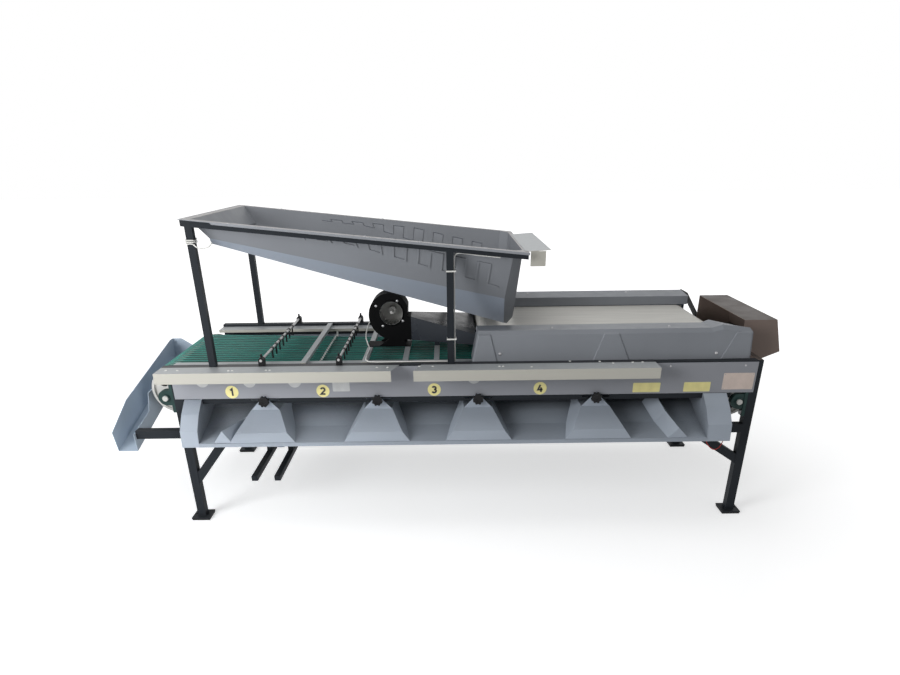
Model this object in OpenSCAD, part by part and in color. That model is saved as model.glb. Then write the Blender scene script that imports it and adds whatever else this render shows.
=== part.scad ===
// Fruit grading machine: a hopper feeds a flat belt, the belt drops the fruit on a bed of
// spreading ropes, and the fruit falls between the ropes by size into a row of outlets.
// Inside the modules X runs along the machine from the middle of the side beams, Y from the
// near beam's front face and Z from the beams' top. place() stands the machine on Z 0.

/* [Frame] */
// Length of the side beams
beam_l = 2700; // [2660:10:2800]
// Width over the side beams
frame_w = 880; // [860:10:920]
// Height of the side beams' top above the floor
table_h = 780; // [740:10:860]
// Width of a side beam
beam_w = 40; // [36:2:44]
// Height of a side beam
beam_h = 60; // [50:2:64]
// Side of the square leg and rail tubes
leg_s = 40; // [36:2:44]
// Wall of the frame tubes
tube_t = 3; // [2:0.5:4]
// Set-back of the left legs from the beams' ends
leg_inset = 5; // [2:1:10]
// Depth of the lower rails' top below the beams' top
rail_drop = 310; // [304:1:316]
// Side of a square foot plate
foot_s = 90; // [80:2:110]
// Thickness of a foot plate
foot_t = 6; // [4:1:10]
// Thickness of the rubber pad under a foot plate
pad_t = 8; // [5:1:12]
// Diameter of the anchor hole in a foot plate
anchor_d = 12; // [10:1:14]

/* [Rope bed] */
// Height of a drum bearing's axis above its base
bearing_h = 36.5; // [35:0.5:40]
// Diameter of the drum shafts
shaft_d = 25; // [20:1:28]
// Radius of the grooved drums
drum_r = 111; // [106:1:114]
// Depth of the head drum's axis below the beams' top
head_drop = 145; // [142:1:150]
// Depth of the tail drum's axis below the beams' top
tail_drop = 197; // [190:1:204]
// Gap between a side beam and the drum's end face
drum_gap = 82; // [76:1:90]
// Diameter of a rope
rope_d = 12; // [9:0.5:13]
// Number of ropes
rope_count = 17; // [11:2:17]
// Spacing of the ropes at the head drum
head_pitch = 36; // [32:0.5:37]
// Spacing of the ropes at the tail drum
tail_pitch = 27; // [25:0.5:30]

/* [Feed belt] */
// Height of the belt's top above the beams' top
belt_top = 110; // [106:1:114]
// Width of the belt
belt_w = 512; // [480:4:520]
// Thickness of the belt
belt_t = 3; // [2:0.5:4]
// Radius of the belt rollers
roller_r = 38; // [34:1:39]
// Tail roller's axis from the middle of the machine
feed_tail_x = 110; // [100:2:120]
// Drive roller's axis from the beams' right end
feed_drive_in = 200; // [196:1:206]
// Diameter of the roller journals
journal_d = 20; // [16:1:24]

/* [Hopper] */
// Height of the hopper's rim at its left end above the beams' top
rim_left_z = 623; // [600:5:650]
// Height of the hopper's rim at its right end above the beams' top
rim_right_z = 474; // [464:2:484]
// Width of the rim's flange
flange_w = 35; // [30:1:40]
// Thickness of the hopper's wall
hopper_t = 3; // [2:0.5:4]
// Side of the square stand posts
post_s = 30; // [25:1:34]

/* [Outlets] */
// Reach of the outlet tray in front of the near beam
tray_reach = 130; // [120:2:140]
// Thickness of the tray's sheet
tray_t = 2; // [1.5:0.5:3]
// Width of a divider at the tray's lip
divider_w = 300; // [280:5:320]
// Diameter of a divider's knob
knob_d = 50; // [44:1:56]
// Travel of a divider to each side
divider_travel = 60; // [40:5:60]
// Diameter of the clamp stud of a divider
stud_d = 8; // [6:1:10]

/* [Blower] */
// Radius of the blower's wheel
wheel_r = 74; // [66:1:78]
// Radius of the blower's inlet
inlet_r = 55; // [48:1:60]
// Depth of the blower's housing
fan_depth = 116; // [110:1:120]
// Number of blades on the wheel
blade_count = 24; // [16:2:30]

/* [Covers] */
// Thickness of the moulded covers
cover_t = 3; // [2:0.5:4]
// Height of the near cover's ridge above the beams' top
near_ridge = 136; // [132:1:142]
// Height of the far cover's ridge above the beams' top
far_ridge = 165; // [158:1:172]
// Height of the end hood above the beams' top
hood_h = 150; // [144:2:160]

/* [Hidden] */
$fn = 48;

// Clearances
run_fit = 0.05;
clear = 0.3;
gap = 1;

// Frame lines
xl = -beam_l / 2;
xr = beam_l / 2;
yc = frame_w / 2;
leg_l0 = xl + leg_inset;
leg_r0 = xr - leg_s;
rail_z = -rail_drop;
floor_z = -table_h;
leg_foot_z = floor_z + pad_t + foot_t;
left_out = -1652;
right_out = 1483;

// Rope bed lines
head_x = leg_l0 - bearing_h;
tail_x = leg_r0 - bearing_h;
head_z = -head_drop;
tail_z = -tail_drop;
drum_y0 = beam_w + drum_gap;
drum_y1 = frame_w - drum_y0;
groove_depth = rope_d / 2 + 1;
groove_r = drum_r - groove_depth;
rope_r = groove_r + clear + rope_d / 2;
bed_slope = atan2(head_z - tail_z, tail_x - head_x);
function rope_top(x) = head_z + (rope_r + rope_d / 2) / cos(bed_slope) - (x - head_x) * tan(bed_slope);

// Outer radius of a drum bearing
block_boss = 36;

// Hopper rim line
rim_x0 = -1174;
rim_x1 = 272;
rim_out = 5;
function rim_z(x) = rim_left_z + (rim_right_z - rim_left_z) * (x - rim_x0) / (rim_x1 - rim_x0);

// Whole machine's middle, from its outermost faces
x_mid = (left_out + right_out) / 2;
y_mid = (frame_w - leg_s / 2 + foot_s / 2 - tray_reach) / 2;

module place() {
  translate([-x_mid, -y_mid, table_h]) children();
}

module box(a, b) {
  translate(a) cube(b - a);
}

module both_sides() {
  children();
  translate([0, frame_w, 0]) mirror([0, 1, 0]) children();
}

// Outline in X and Z, drawn out along Y
module slab_y(points, y0, y1) {
  translate([0, y1, 0]) rotate([90, 0, 0]) linear_extrude(y1 - y0) polygon(points);
}

// Outline in Y and Z, drawn out along X
module slab_x(points, x0, x1) {
  translate([x0, 0, 0]) rotate([90, 0, 90]) linear_extrude(x1 - x0) polygon(points);
}

module rod_y(x, z, y0, y1, d) {
  translate([x, y0, z]) rotate([-90, 0, 0]) cylinder(d = d, h = y1 - y0);
}

// Square tube with open ends
module tube_x(a, b) {
  wall = [-1, tube_t, tube_t];
  difference() {
    box(a, b);
    box(a + wall, b - wall);
  }
}

module tube_y(a, b) {
  wall = [tube_t, -1, tube_t];
  difference() {
    box(a, b);
    box(a + wall, b - wall);
  }
}

module tube_z(a, b) {
  wall = [tube_t, tube_t, -1];
  difference() {
    box(a, b);
    box(a + wall, b - wall);
  }
}

// Folded sheet: a path thickened to its left by t with mitred corners
function unit(v) = v / norm(v);
function left_of(v) = [-v[1], v[0]];
function along(p, i) = unit(p[i + 1] - p[i]);
function mitre(p, i, t) =
  let (a = along(p, max(i - 1, 0)), b = along(p, min(i, len(p) - 2)), m = left_of(a) + left_of(b))
  p[i] + m * 2 * t / (m * m);
function fold(p, t) = concat(p, [for (i = [len(p) - 1:-1:0]) mitre(p, i, t)]);

// Solid between rings of points, closed at both ends
module loft(rings) {
  n = len(rings[0]);
  last = len(rings) - 1;
  points = [for (r = rings) each r];
  sides = [for (k = [0:last - 1], i = [0:n - 1]) let (j = (i + 1) % n)
    each [[k * n + i, k * n + n + j, k * n + j], [k * n + i, k * n + n + i, k * n + n + j]]];
  first = [for (i = [0:n - 1]) i];
  polyhedron(points, concat([first], sides, [[for (i = [n - 1:-1:0]) last * n + i]]));
}

// Round tube swept along a route of points
function route_dir(p, i) = unit(p[min(i + 1, len(p) - 1)] - p[max(i - 1, 0)]);
function route_side(d) = unit(cross(d, abs(d[2]) > 0.8 ? [0, 1, 0] : [0, 0, 1]));
function route_ring(p, i, r, sides) =
  let (d = route_dir(p, i), u = route_side(d), v = cross(d, u))
  [for (k = [0:sides - 1]) p[i] + r * (u * cos(360 * k / sides) + v * sin(360 * k / sides))];
module cord(p, d, sides) {
  loft([for (i = [0:len(p) - 1]) route_ring(p, i, d / 2, sides)]);
}

slate = [0.16, 0.2, 0.24];
panel_grey = [0.6, 0.63, 0.68];
zinc = [0.72, 0.74, 0.76];
black = [0.08, 0.08, 0.09];
pale = [0.85, 0.86, 0.86];
shell_grey = [0.52, 0.56, 0.62];

// Frame

module side_beams() place() color(slate) both_sides() {
  tube_x([xl, 0, -beam_h], [xr, beam_w, 0]);
}

module legs() place() color(slate) both_sides() for (x = [leg_l0, leg_r0]) {
  tube_z([x, 0, leg_foot_z], [x + leg_s, leg_s, -beam_h]);
}

module foot_square(t, s) {
  translate([-s / 2, -s / 2, 0]) cube([s, s, t]);
}

// The anchor hole sits outward of the leg, towards the machine's end
anchor_off = leg_s / 2 + (foot_s - leg_s) / 4;
module each_foot() both_sides() {
  translate([leg_l0 + leg_s / 2, leg_s / 2, floor_z]) children();
  translate([leg_r0 + leg_s / 2, leg_s / 2, floor_z]) mirror([1, 0, 0]) children();
}

module foot_plates() place() color(slate) each_foot() translate([0, 0, pad_t]) difference() {
  foot_square(foot_t, foot_s);
  translate([-anchor_off, 0, -1]) cylinder(d = anchor_d, h = foot_t + 2);
}

module foot_pads() place() color(black) each_foot() difference() {
  foot_square(pad_t, foot_s - 4);
  translate([-anchor_off, 0, -1]) cylinder(d = anchor_d + 2, h = pad_t + 2);
}

module lower_rails() place() color(slate) both_sides() {
  tube_x([leg_l0 + leg_s, 0, rail_z - leg_s], [leg_r0, leg_s, rail_z]);
}

// Diagonal from a leg up to the lower rail, its ends cut to sit on both
left_brace_run = 192;
left_brace_drop = 240;
right_brace_run = 250;
right_brace_drop = 162;
module brace(run, drop) {
  rail_under = rail_z - leg_s;
  w = leg_s * norm([run, drop]);
  slab_y([[0, rail_under - drop], [run, rail_under], [run - w / drop, rail_under],
    [0, rail_under - drop + w / run]], 2, leg_s - 2);
}
module knee_braces() place() color(slate) both_sides() {
  translate([leg_l0 + leg_s, 0, 0]) brace(left_brace_run, left_brace_drop);
  translate([leg_r0, 0, 0]) mirror([1, 0, 0]) brace(right_brace_run, right_brace_drop);
}

// Cross members that carry the feed conveyor, let into the beams' inner faces
member_w = 40;
member_z0 = -12;
member_z1 = 18;
feed_drive_x = xr - feed_drive_in;
member_x = [feed_tail_x, (feed_tail_x + feed_drive_x) / 2, feed_drive_x];
module cross_members() place() color(slate) for (x = member_x) {
  tube_y([x - member_w / 2, beam_w, member_z0], [x + member_w / 2, frame_w - beam_w, member_z1]);
}

// Arms that hold the end chute out past the head drum
chute_in_x = -1560;
near_arm_z = rail_z + 4;
far_arm_z = -226;
module chute_arms() place() color(slate) {
  tube_x([chute_in_x, 0, near_arm_z - leg_s], [leg_l0, leg_s, near_arm_z]);
  tube_x([chute_in_x + chute_t, frame_w - leg_s, far_arm_z - leg_s], [leg_l0, frame_w, far_arm_z]);
}

// Cradle under the rope bed for the drum's gearmotor
motor_x = -995;
motor_z = -505;
cradle_span = 114;
cradle_bar = 30;
shelf_t = 25;
motor_half_h = 75;
shelf_top = motor_z - motor_half_h;
hanger_y = [frame_w - 490, frame_w - 56];
shelf_y = [60, frame_w - 50];
cradle_x = [motor_x - cradle_span / 2, motor_x + cradle_span / 2];
module motor_cradle() place() color(slate) for (x = cradle_x) {
  box([x - cradle_bar / 2, leg_s, rail_z - cradle_bar], [x + cradle_bar / 2, frame_w - leg_s, rail_z]);
  for (y = hanger_y) {
    box([x - 15, y - 4, shelf_top], [x + 15, y + 4, rail_z - cradle_bar]);
  }
  box([x - cradle_bar / 2, shelf_y[0], shelf_top - shelf_t], [x + cradle_bar / 2, shelf_y[1], shelf_top]);
}

// Side panels and the strips over them

fascia_t = 2;
fascia_top = -6;
fascia_bottom = -150;
module near_fascia() place() color(panel_grey)
  box([xl + 12, -fascia_t, fascia_bottom], [xr - 22, 0, fascia_top]);

module far_fascia() place() color(panel_grey)
  box([xl + 12, frame_w, fascia_bottom], [xr - 22, frame_w + fascia_t, fascia_top]);

// Slotted rail behind the fascia, in which the dividers' studs slide, along the tray from end to end
tray_l = -1218;
tray_r = 1099;
last_bay = 496;
slot_z = -161;
slot_y0 = 4;
slot_rail_t = 3;
slot_rail_h = 30;
slot_rail_x1 = tail_x - block_boss - 10;
divider_x = [-927, -405, 59, tray_r - last_bay];
module slot_rail() place() color(slate) difference() {
  union() {
    box([leg_l0 + leg_s, slot_y0, slot_z - slot_rail_h / 2],
      [slot_rail_x1, slot_y0 + slot_rail_t, slot_z + slot_rail_h / 2]);
    for (x = [leg_l0 + leg_s, slot_rail_x1 - 20]) {
      box([x, slot_y0, slot_z], [x + 20, slot_y0 + slot_rail_t, -beam_h]);
    }
  }
  for (x = divider_x) hull() for (dx = [-1, 1]) {
    translate([x + dx * (divider_travel + 1), slot_y0 - 1, slot_z]) rotate([-90, 0, 0])
      cylinder(d = stud_d + 2 * clear, h = slot_rail_t + 2, $fn = 32);
  }
}

// Folded strips on the near beam, reaching out over the outlets' fascia
strip_t = 1.5;
strip_reach = 100;
strip_lip = 47;
strip_back = 30;
strip_path = [[-strip_reach, -strip_lip], [-strip_reach, 0], [strip_back, 0]];
strip_ends = [[-1370, -284], [-231, 857]];
strip_slant = 46;
module strip(x0, x1, slant0, slant1) intersection() {
  slab_x(fold(strip_path, strip_t), x0, x1);
  translate([0, 0, -strip_lip - 1]) linear_extrude(strip_lip + 10)
    polygon([[x0, -strip_reach - 5], [x1 - slant1, -strip_reach - 5], [x1, strip_back + 1],
      [x0 + slant0, strip_back + 1]]);
}
module cover_strips() place() color(zinc) {
  strip(strip_ends[0][0], strip_ends[0][1], 0, strip_slant);
  strip(strip_ends[1][0], strip_ends[1][1], strip_slant, 0);
}

// Flanges along both beams that keep the fruit on the ropes
guide_z = -12;
guide_t = 2;
guide_w = 80;
guide_lip = 14;
module bed_guides() place() color(zinc) both_sides()
  slab_x(fold([[beam_w, guide_z - guide_t], [beam_w + guide_w, guide_z - guide_t],
    [beam_w + guide_w, guide_z - guide_lip]], guide_t), xl, feed_tail_x - member_w / 2 - gap);

// Flat bars across the rope bed, resting on the guides
bar_w = 25;
bar_t = 15;
bar_top = guide_z + bar_t;
bar_x = [-741, -460, -274, -130];
module cross_bars() place() color(zinc) for (x = bar_x) {
  box([x - bar_w / 2, beam_w + gap, guide_z], [x + bar_w / 2, frame_w - beam_w - gap, bar_top]);
}

// Rope bed: grooved drums, ropes, bearings and drive

groove_half = rope_d / 2 + 1;
groove_flare = 4;
drum_half = (drum_y1 - drum_y0) / 2;
ropes_laid = min(rope_count, 2 * floor((drum_half - groove_half - groove_flare) / head_pitch) + 1);
rope_mid = (ropes_laid - 1) / 2;
drum_shell = 4;
drum_disc = 6;
drum_disc_in = 12;
light_hole_d = 44;
light_holes = 5;

// Half outline of a drum: its grooved skin, radius against length
function groove(y) = [[drum_r, y - groove_half - groove_flare], [groove_r, y - groove_half],
  [groove_r, y + groove_half], [drum_r, y + groove_half + groove_flare]];
module drum_skin(pitch) {
  half = (drum_y1 - drum_y0) / 2;
  grooves = [for (i = [0:ropes_laid - 1]) each groove((i - rope_mid) * pitch)];
  polygon(concat([[drum_r, -half]], grooves, [[drum_r, half], [groove_r - drum_shell, half],
    [groove_r - drum_shell, -half]]));
}

module drum(pitch, shaft_y0, shaft_y1) {
  half = (drum_y1 - drum_y0) / 2;
  translate([0, yc, 0]) rotate([-90, 0, 0]) {
    rotate_extrude($fn = 96) drum_skin(pitch);
    for (s = [-1, 1]) translate([0, 0, s * (half - drum_disc_in) - drum_disc / 2]) difference() {
      cylinder(r = groove_r - drum_shell, h = drum_disc, $fn = 96);
      for (k = [0:light_holes - 1]) {
        rotate(360 * k / light_holes) translate([groove_r * 0.6, 0, -1])
          cylinder(d = light_hole_d, h = drum_disc + 2);
      }
    }
    translate([0, 0, shaft_y0 - yc]) cylinder(d = shaft_d, h = shaft_y1 - shaft_y0);
  }
}

shaft_out = 8;
module head_drum() place() color(pale)
  translate([head_x, 0, head_z]) drum(head_pitch, -shaft_out, frame_w + shaft_out);

module tail_drum() place() color(pale)
  translate([tail_x, 0, tail_z]) drum(tail_pitch, -shaft_out, frame_w + shaft_out);

// Rope loop in X and Z, from the head drum's axis over length l
module half_turn(r, d, from) {
  rotate([90, 0, 0]) rotate(from) rotate_extrude(angle = 180, $fn = 64)
    translate([r, 0]) circle(d = d, $fn = 24);
}
module rope_loop(l) {
  half_turn(rope_r, rope_d, 90);
  translate([l, 0, 0]) half_turn(rope_r, rope_d, -90);
  for (s = [-1, 1]) translate([0, 0, s * rope_r]) rotate([0, 90, 0]) cylinder(d = rope_d, h = l, $fn = 24);
}
module ropes() place() color([0.1, 0.42, 0.36]) for (i = [0:ropes_laid - 1]) {
  step = i - rope_mid;
  turn = atan2(step * (tail_pitch - head_pitch), tail_x - head_x);
  flat = (tail_x - head_x) / cos(turn);
  tilt = atan2(head_z - tail_z, flat);
  translate([head_x, yc + step * head_pitch, head_z]) rotate([0, tilt, turn]) rope_loop(flat / cos(tilt));
}

// Pillow block bearing: foot on the leg's left face, axis along Y
block_l = 140;
block_w = 38;
block_foot = 14;
block_bolt = 105;
module pillow_block() difference() {
  union() {
    translate([-block_foot, 0, 0]) linear_extrude(block_l, center = true)
      translate([0, -block_w / 2]) square([block_foot, block_w]);
    translate([-bearing_h, 0, 0]) rotate([90, 0, 0]) {
      cylinder(r = block_boss, h = block_w - 8, center = true);
      cylinder(d = shaft_d + 12, h = block_w, center = true);
    }
    translate([-bearing_h / 2, 0, 0]) cube([bearing_h, block_w - 8, 2 * block_boss], center = true);
  }
  translate([-bearing_h, 0, 0]) rotate([90, 0, 0])
    cylinder(d = shaft_d + 2 * run_fit, h = block_w + 2, center = true);
  for (s = [-1, 1]) translate([-block_foot - 1, 0, s * block_bolt / 2]) rotate([0, 90, 0])
    cylinder(d = 13, h = block_foot + 2);
}
module drum_bearings() place() color([0.1, 0.24, 0.2]) both_sides() {
  translate([leg_l0, leg_s / 2, head_z]) pillow_block();
  translate([leg_r0, leg_s / 2, tail_z]) pillow_block();
}

// Chain drive from the gearmotor to the head drum
sprocket_y = frame_w - 80;
sprocket_t = 8;
chain_pitch = 15.875;
head_teeth = 38;
motor_teeth = 19;
function pitch_r(teeth) = chain_pitch / 2 / sin(180 / teeth);
hub_l = 24;
module sprocket(teeth, bore) rotate([90, 0, 0]) difference() {
  union() {
    linear_extrude(sprocket_t, center = true) difference() {
      circle(r = pitch_r(teeth) + 4, $fn = 96);
      for (k = [0:teeth - 1]) rotate(360 * (k + 0.5) / teeth) translate([pitch_r(teeth), 0])
        circle(d = chain_roller + 0.6, $fn = 16);
      for (k = [0:teeth - 1]) rotate(360 * (k + 0.5) / teeth) translate([pitch_r(teeth) + 4, 0])
        square([8, chain_roller], center = true);
    }
    cylinder(d = bore + 24, h = hub_l, center = true);
  }
  cylinder(d = bore, h = hub_l + 2, center = true);
}
chain_roller = 10;
module head_sprocket() place() color(black)
  translate([head_x, sprocket_y, head_z]) sprocket(head_teeth, shaft_d);

motor_shaft_d = 24;
motor_shaft_y = sprocket_y + hub_l / 2 + 4;
gear_y0 = frame_w - 220;
gear_y1 = sprocket_y - hub_l / 2 - 8;
motor_y0 = gear_y0 - 260;
module motor_sprocket() place() color(black) {
  translate([motor_x, sprocket_y, motor_z]) sprocket(motor_teeth, motor_shaft_d);
  rod_y(motor_x, motor_z, gear_y1 + clear, motor_shaft_y, motor_shaft_d);
}

// Chain as a band of rollers and side plates on the open belt line of both sprockets
function chain_span() = norm([motor_x - head_x, motor_z - head_z]);
chain_r0 = pitch_r(head_teeth);
chain_r1 = pitch_r(motor_teeth);
chain_lean = asin((chain_r0 - chain_r1) / chain_span());
chain_dir = atan2(motor_z - head_z, motor_x - head_x);
chain_plate_h = 12;
chain_w = 16;
function arc_points(c, r, a0, a1, n) = [for (k = [0:n]) let (a = a0 + (a1 - a0) * k / n)
  c + r * [cos(a), sin(a)]];
function chain_line(grow) = let (a = 90 - chain_lean)
  concat(arc_points([0, 0], chain_r0 + grow, a, 360 - a, 24),
    arc_points([chain_span(), 0], chain_r1 + grow, -a, a, 12));
chain_run = chain_span() * cos(chain_lean);
module drive_chain() place() color([0.3, 0.3, 0.32])
  translate([head_x, sprocket_y, head_z]) rotate([90, 0, 0]) rotate(chain_dir) {
    for (s = [-1, 1]) translate([0, 0, s * (sprocket_t / 2 + 2.3)])
      linear_extrude(3, center = true) difference() {
        polygon(chain_line(chain_plate_h / 2));
        polygon(chain_line(-chain_plate_h / 2));
      }
    for (s = [-1, 1], k = [3:floor(chain_run / chain_pitch) - 3]) {
      a = s * (90 - chain_lean);
      translate(chain_r0 * [cos(a), sin(a)] + k * chain_pitch * [cos(-s * chain_lean), sin(-s * chain_lean)])
        cylinder(d = chain_roller, h = chain_w - 2, center = true, $fn = 16);
    }
  }

// Gearmotor of the rope drive: gear case, finned motor and foot, axis along Y
gear_r = 62;
motor_r = 66;
fin_count = 28;
fin_h = 8.5;
fin_t = 3;
end_ring = 12;
fan_cowl = 46;
module finned_motor(r, l) {
  cylinder(r = r - 8, h = l);
  for (k = [0:fin_count - 1]) rotate(360 * k / fin_count)
    translate([r - fin_h - 2, -fin_t / 2, end_ring - 2]) cube([fin_h, fin_t, l - end_ring - fan_cowl + 4]);
  cylinder(r = r, h = end_ring);
  translate([0, 0, l - fan_cowl]) cylinder(r = r, h = fan_cowl);
}
module drum_gearmotor() place() color([0.25, 0.33, 0.45]) difference() {
  union() {
    translate([motor_x, gear_y0, motor_z]) rotate([90, 0, 0]) finned_motor(motor_r, gear_y0 - motor_y0);
    rod_y(motor_x, motor_z, gear_y0 - 2, gear_y1 - 16, 2 * gear_r);
    rod_y(motor_x, motor_z, gear_y1 - 20, gear_y1, 2 * gear_r - 40);
    box([motor_x - 70, gear_y0 + 4, shelf_top], [motor_x + 70, gear_y1 - 22, shelf_top + 14]);
    box([motor_x - 50, gear_y0 + 4, shelf_top], [motor_x + 50, gear_y1 - 22, motor_z]);
    box([motor_x + 20, motor_y0 + 120, motor_z + 20], [motor_x + 78, motor_y0 + 210, motor_z + 60]);
  }
  rod_y(motor_x, motor_z, gear_y1 - 10, gear_y1 + 1, motor_shaft_d + 2 * run_fit);
}

// Sawtooth strip that keeps the ropes spread
comb_x = -695;
comb_t = 8;
comb_body = 24;
comb_under = rope_d + 2;
comb_rise = 6;
comb_pitch = head_pitch + (tail_pitch - head_pitch) * (comb_x - head_x) / (tail_x - head_x);
comb_top = rope_top(comb_x) - comb_under;
module rope_comb() place() color("white") {
  half = rope_mid * comb_pitch + comb_pitch;
  tooth_half = (comb_pitch - rope_d) / 2 - 1.5;
  tab_y = beam_w + guide_w - 20;
  slab_x(concat([[yc - half, comb_top - comb_body]],
    [for (i = [0:ropes_laid]) let (y = yc + (i - rope_mid - 0.5) * comb_pitch)
      each [[y - tooth_half, comb_top], [y, comb_top + comb_under + comb_rise], [y + tooth_half, comb_top]]],
    [[yc + half, comb_top - comb_body]]), comb_x - comb_t / 2, comb_x + comb_t / 2);
  both_sides() slab_x([[tab_y, guide_z - guide_t], [tab_y, comb_top - comb_body],
    [yc - half, comb_top - comb_body],
    [yc - half, comb_top], [tab_y + 14, comb_top], [tab_y + 14, guide_z - guide_t]],
    comb_x - comb_t / 2, comb_x + comb_t / 2);
}

// Finger bars over the bed: a rod with tines, held in a clamp on each beam
finger_rod_d = 12;
finger_z = 25;
finger_d = 8;
finger_l = 45;
finger_pitch = 75;
finger_bar_x = [-920, -570];
finger_counts = [7, 8];
clamp_w = 26;
clamp_h = 44;
module comb_bar(k) {
  rod_y(finger_bar_x[k], finger_z, 1, frame_w - 1, finger_rod_d);
  for (i = [0:finger_counts[k] - 1]) {
    translate([finger_bar_x[k], yc + (i - (finger_counts[k] - 1) / 2) * finger_pitch, finger_z - finger_l])
      cylinder(d = finger_d, h = finger_l);
    rod_y(finger_bar_x[k], finger_z, yc + (i - (finger_counts[k] - 1) / 2) * finger_pitch - 8,
      yc + (i - (finger_counts[k] - 1) / 2) * finger_pitch + 8, finger_rod_d + 6);
  }
}
module comb_bar_1() place() color(black) comb_bar(0);
module comb_bar_2() place() color(black) comb_bar(1);

module comb_clamp(x, seat) difference() {
  union() {
    box([x - clamp_w / 2, 4, seat], [x + clamp_w / 2, beam_w - 6, finger_z]);
    translate([x, 4, finger_z]) rotate([-90, 0, 0]) cylinder(d = clamp_w, h = beam_w - 10);
    translate([x, beam_w / 2 - 1, finger_z + 8]) cylinder(d = 10, h = 18);
  }
  rod_y(x, finger_z, 0, beam_w, finger_rod_d + 2 * run_fit);
}
module comb_clamps() place() color(black) for (x = finger_bar_x) {
  comb_clamp(x, strip_t);
  translate([0, frame_w, 0]) mirror([0, 1, 0]) comb_clamp(x, 0);
}

// Outlets: the sloping tray under the ropes, its dividers and the end chute

tray_rear_y = 750;
tray_floor = [[tray_rear_y, -105], [130, -235], [0, -290], [-tray_reach, -320]];
tray_path = concat(tray_floor, [[-tray_reach, -338]]);
tray_wall_h = 70;
tray_rear_h = 8;
end_path = [[-2 * fascia_t, fascia_bottom - gap], [-70, -200], [-tray_reach + 8, -262], [-tray_reach, -338]];
end_flange_w = [77, 106];
end_flange_l = [tray_l - end_flange_w[0], tray_l + tray_t];
end_flange_r = [tray_r - tray_t, tray_r + end_flange_w[1]];
strap_inset = 99;
strap_step = 600;
strap_x = [for (k = [3:-1:0]) tray_r - strap_inset - k * strap_step];
strap_w = 30;
strap_lap = 20;
function floor_at(y) = lookup(y, tray_floor);

module tray_side(x) {
  notch = [slot_y0 - gap, slot_y0 + slot_rail_t + gap];
  brow = fascia_bottom - gap;
  low = slot_z - slot_rail_h / 2 - gap;
  over = [[notch[0], brow], [notch[0], low], [notch[1], low], [notch[1], brow], [60, brow],
    [130, -235 + tray_wall_h], [tray_rear_y, -105 + tray_rear_h]];
  front = [for (i = [2:-1:0]) end_path[i]];
  slab_x(concat(tray_floor, front, over), x, x + tray_t);
}

module outlet_tray() place() color(panel_grey) {
  slab_x(fold(tray_path, tray_t), tray_l, tray_r);
  tray_side(tray_l);
  tray_side(tray_r - tray_t);
  for (e = [end_flange_l, end_flange_r]) slab_x(fold(end_path, tray_t), e[0], e[1]);
  for (x = strap_x) {
    slab_x(fold([[frame_w - beam_w, 20 - beam_h], [frame_w - beam_w, -beam_h - 4], [tray_rear_y, -105],
      [tray_rear_y - strap_lap, floor_at(tray_rear_y - strap_lap)]], -tray_t), x, x + strap_w);
    box([x, leg_s / 2, rail_z], [x + strap_w, leg_s / 2 + tray_t, floor_at(leg_s / 2)]);
  }
}

// Fixed ridge between the last two outlets, running back and to the left
ridge_w = 91;
ridge_front_x = tray_r - 133;
ridge_front_h = 46;
ridge_rear_x = tray_r - 194;
ridge_rear_h = 60;
ridge_rear_y = 128;
module ridge_divider() place() color(panel_grey) {
  front_y = -tray_reach + 4;
  mid_x = ridge_front_x + (ridge_rear_x - ridge_front_x) * (0 - front_y) / (ridge_rear_y - front_y);
  mid_h = (ridge_front_h + ridge_rear_h) / 2;
  loft([ridge_ring(ridge_front_x, front_y, ridge_front_h), ridge_ring(mid_x, 0, mid_h),
    ridge_ring(ridge_rear_x, ridge_rear_y, ridge_rear_h)]);
}
function ridge_ring(x, y, h) = [[x + ridge_w / 2, y, floor_at(y)], [x - ridge_w / 2, y, floor_at(y)],
  [x, y, floor_at(y) + h]];

// Tent-shaped divider that slides along the slot rail, origin at its own centre line
tab_y = -8;
tab_t = 2;
tab_w = 46;
tent_t = 2;
tent_front = 2 - tray_reach;
tent_rear = 240;
tent_seat = 0.5;
tent_step = 46;
tent_crown = 132;
crown_z = slot_z - 43;
function tent_at(y) = floor_at(y) + tent_seat;
tent_low = tent_at(tent_front);
tent_lean = (divider_w - tent_crown) / 2 / (crown_z - tent_low);
function tent_half(z, d) = divider_w / 2 - tent_lean * (z - tent_low) - 1.25 * d;
function tent_profile(d) = concat(
  [for (y = [tent_front + d, 0, tray_floor[1][0], tent_rear - d]) [y, tent_at(y) - d]],
  [[tent_rear - d, crown_z - d], [tab_y + d / 2, crown_z - d],
    [tent_front + d, tent_low + tent_step - d / 2]]);
module tent(d) intersection() {
  slab_x(tent_profile(d), -divider_w, divider_w);
  slab_y([for (p = [[-1, tent_low - 9], [1, tent_low - 9], [1, crown_z + 9], [-1, crown_z + 9]])
    [p[0] * tent_half(p[1], d), p[1]]], tent_front - 1, tent_rear + 1);
}
module divider(k) translate([divider_x[k], 0, 0]) {
  difference() {
    tent(0);
    tent(tent_t);
  }
  difference() {
    union() {
      slab_y([[-tent_crown / 2, crown_z - tent_t], [tent_crown / 2, crown_z - tent_t], [tab_w / 2, slot_z],
        [-tab_w / 2, slot_z]], tab_y, tab_y + tab_t);
      rod_y(0, slot_z, tab_y, tab_y + tab_t, tab_w);
      rod_y(0, slot_z, tab_y, slot_y0 - clear, 2 * (fascia_bottom - slot_z) - 2 * gap);
    }
    rod_y(0, slot_z, tab_y - 1, slot_y0, stud_d + 2 * run_fit);
  }
}

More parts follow.
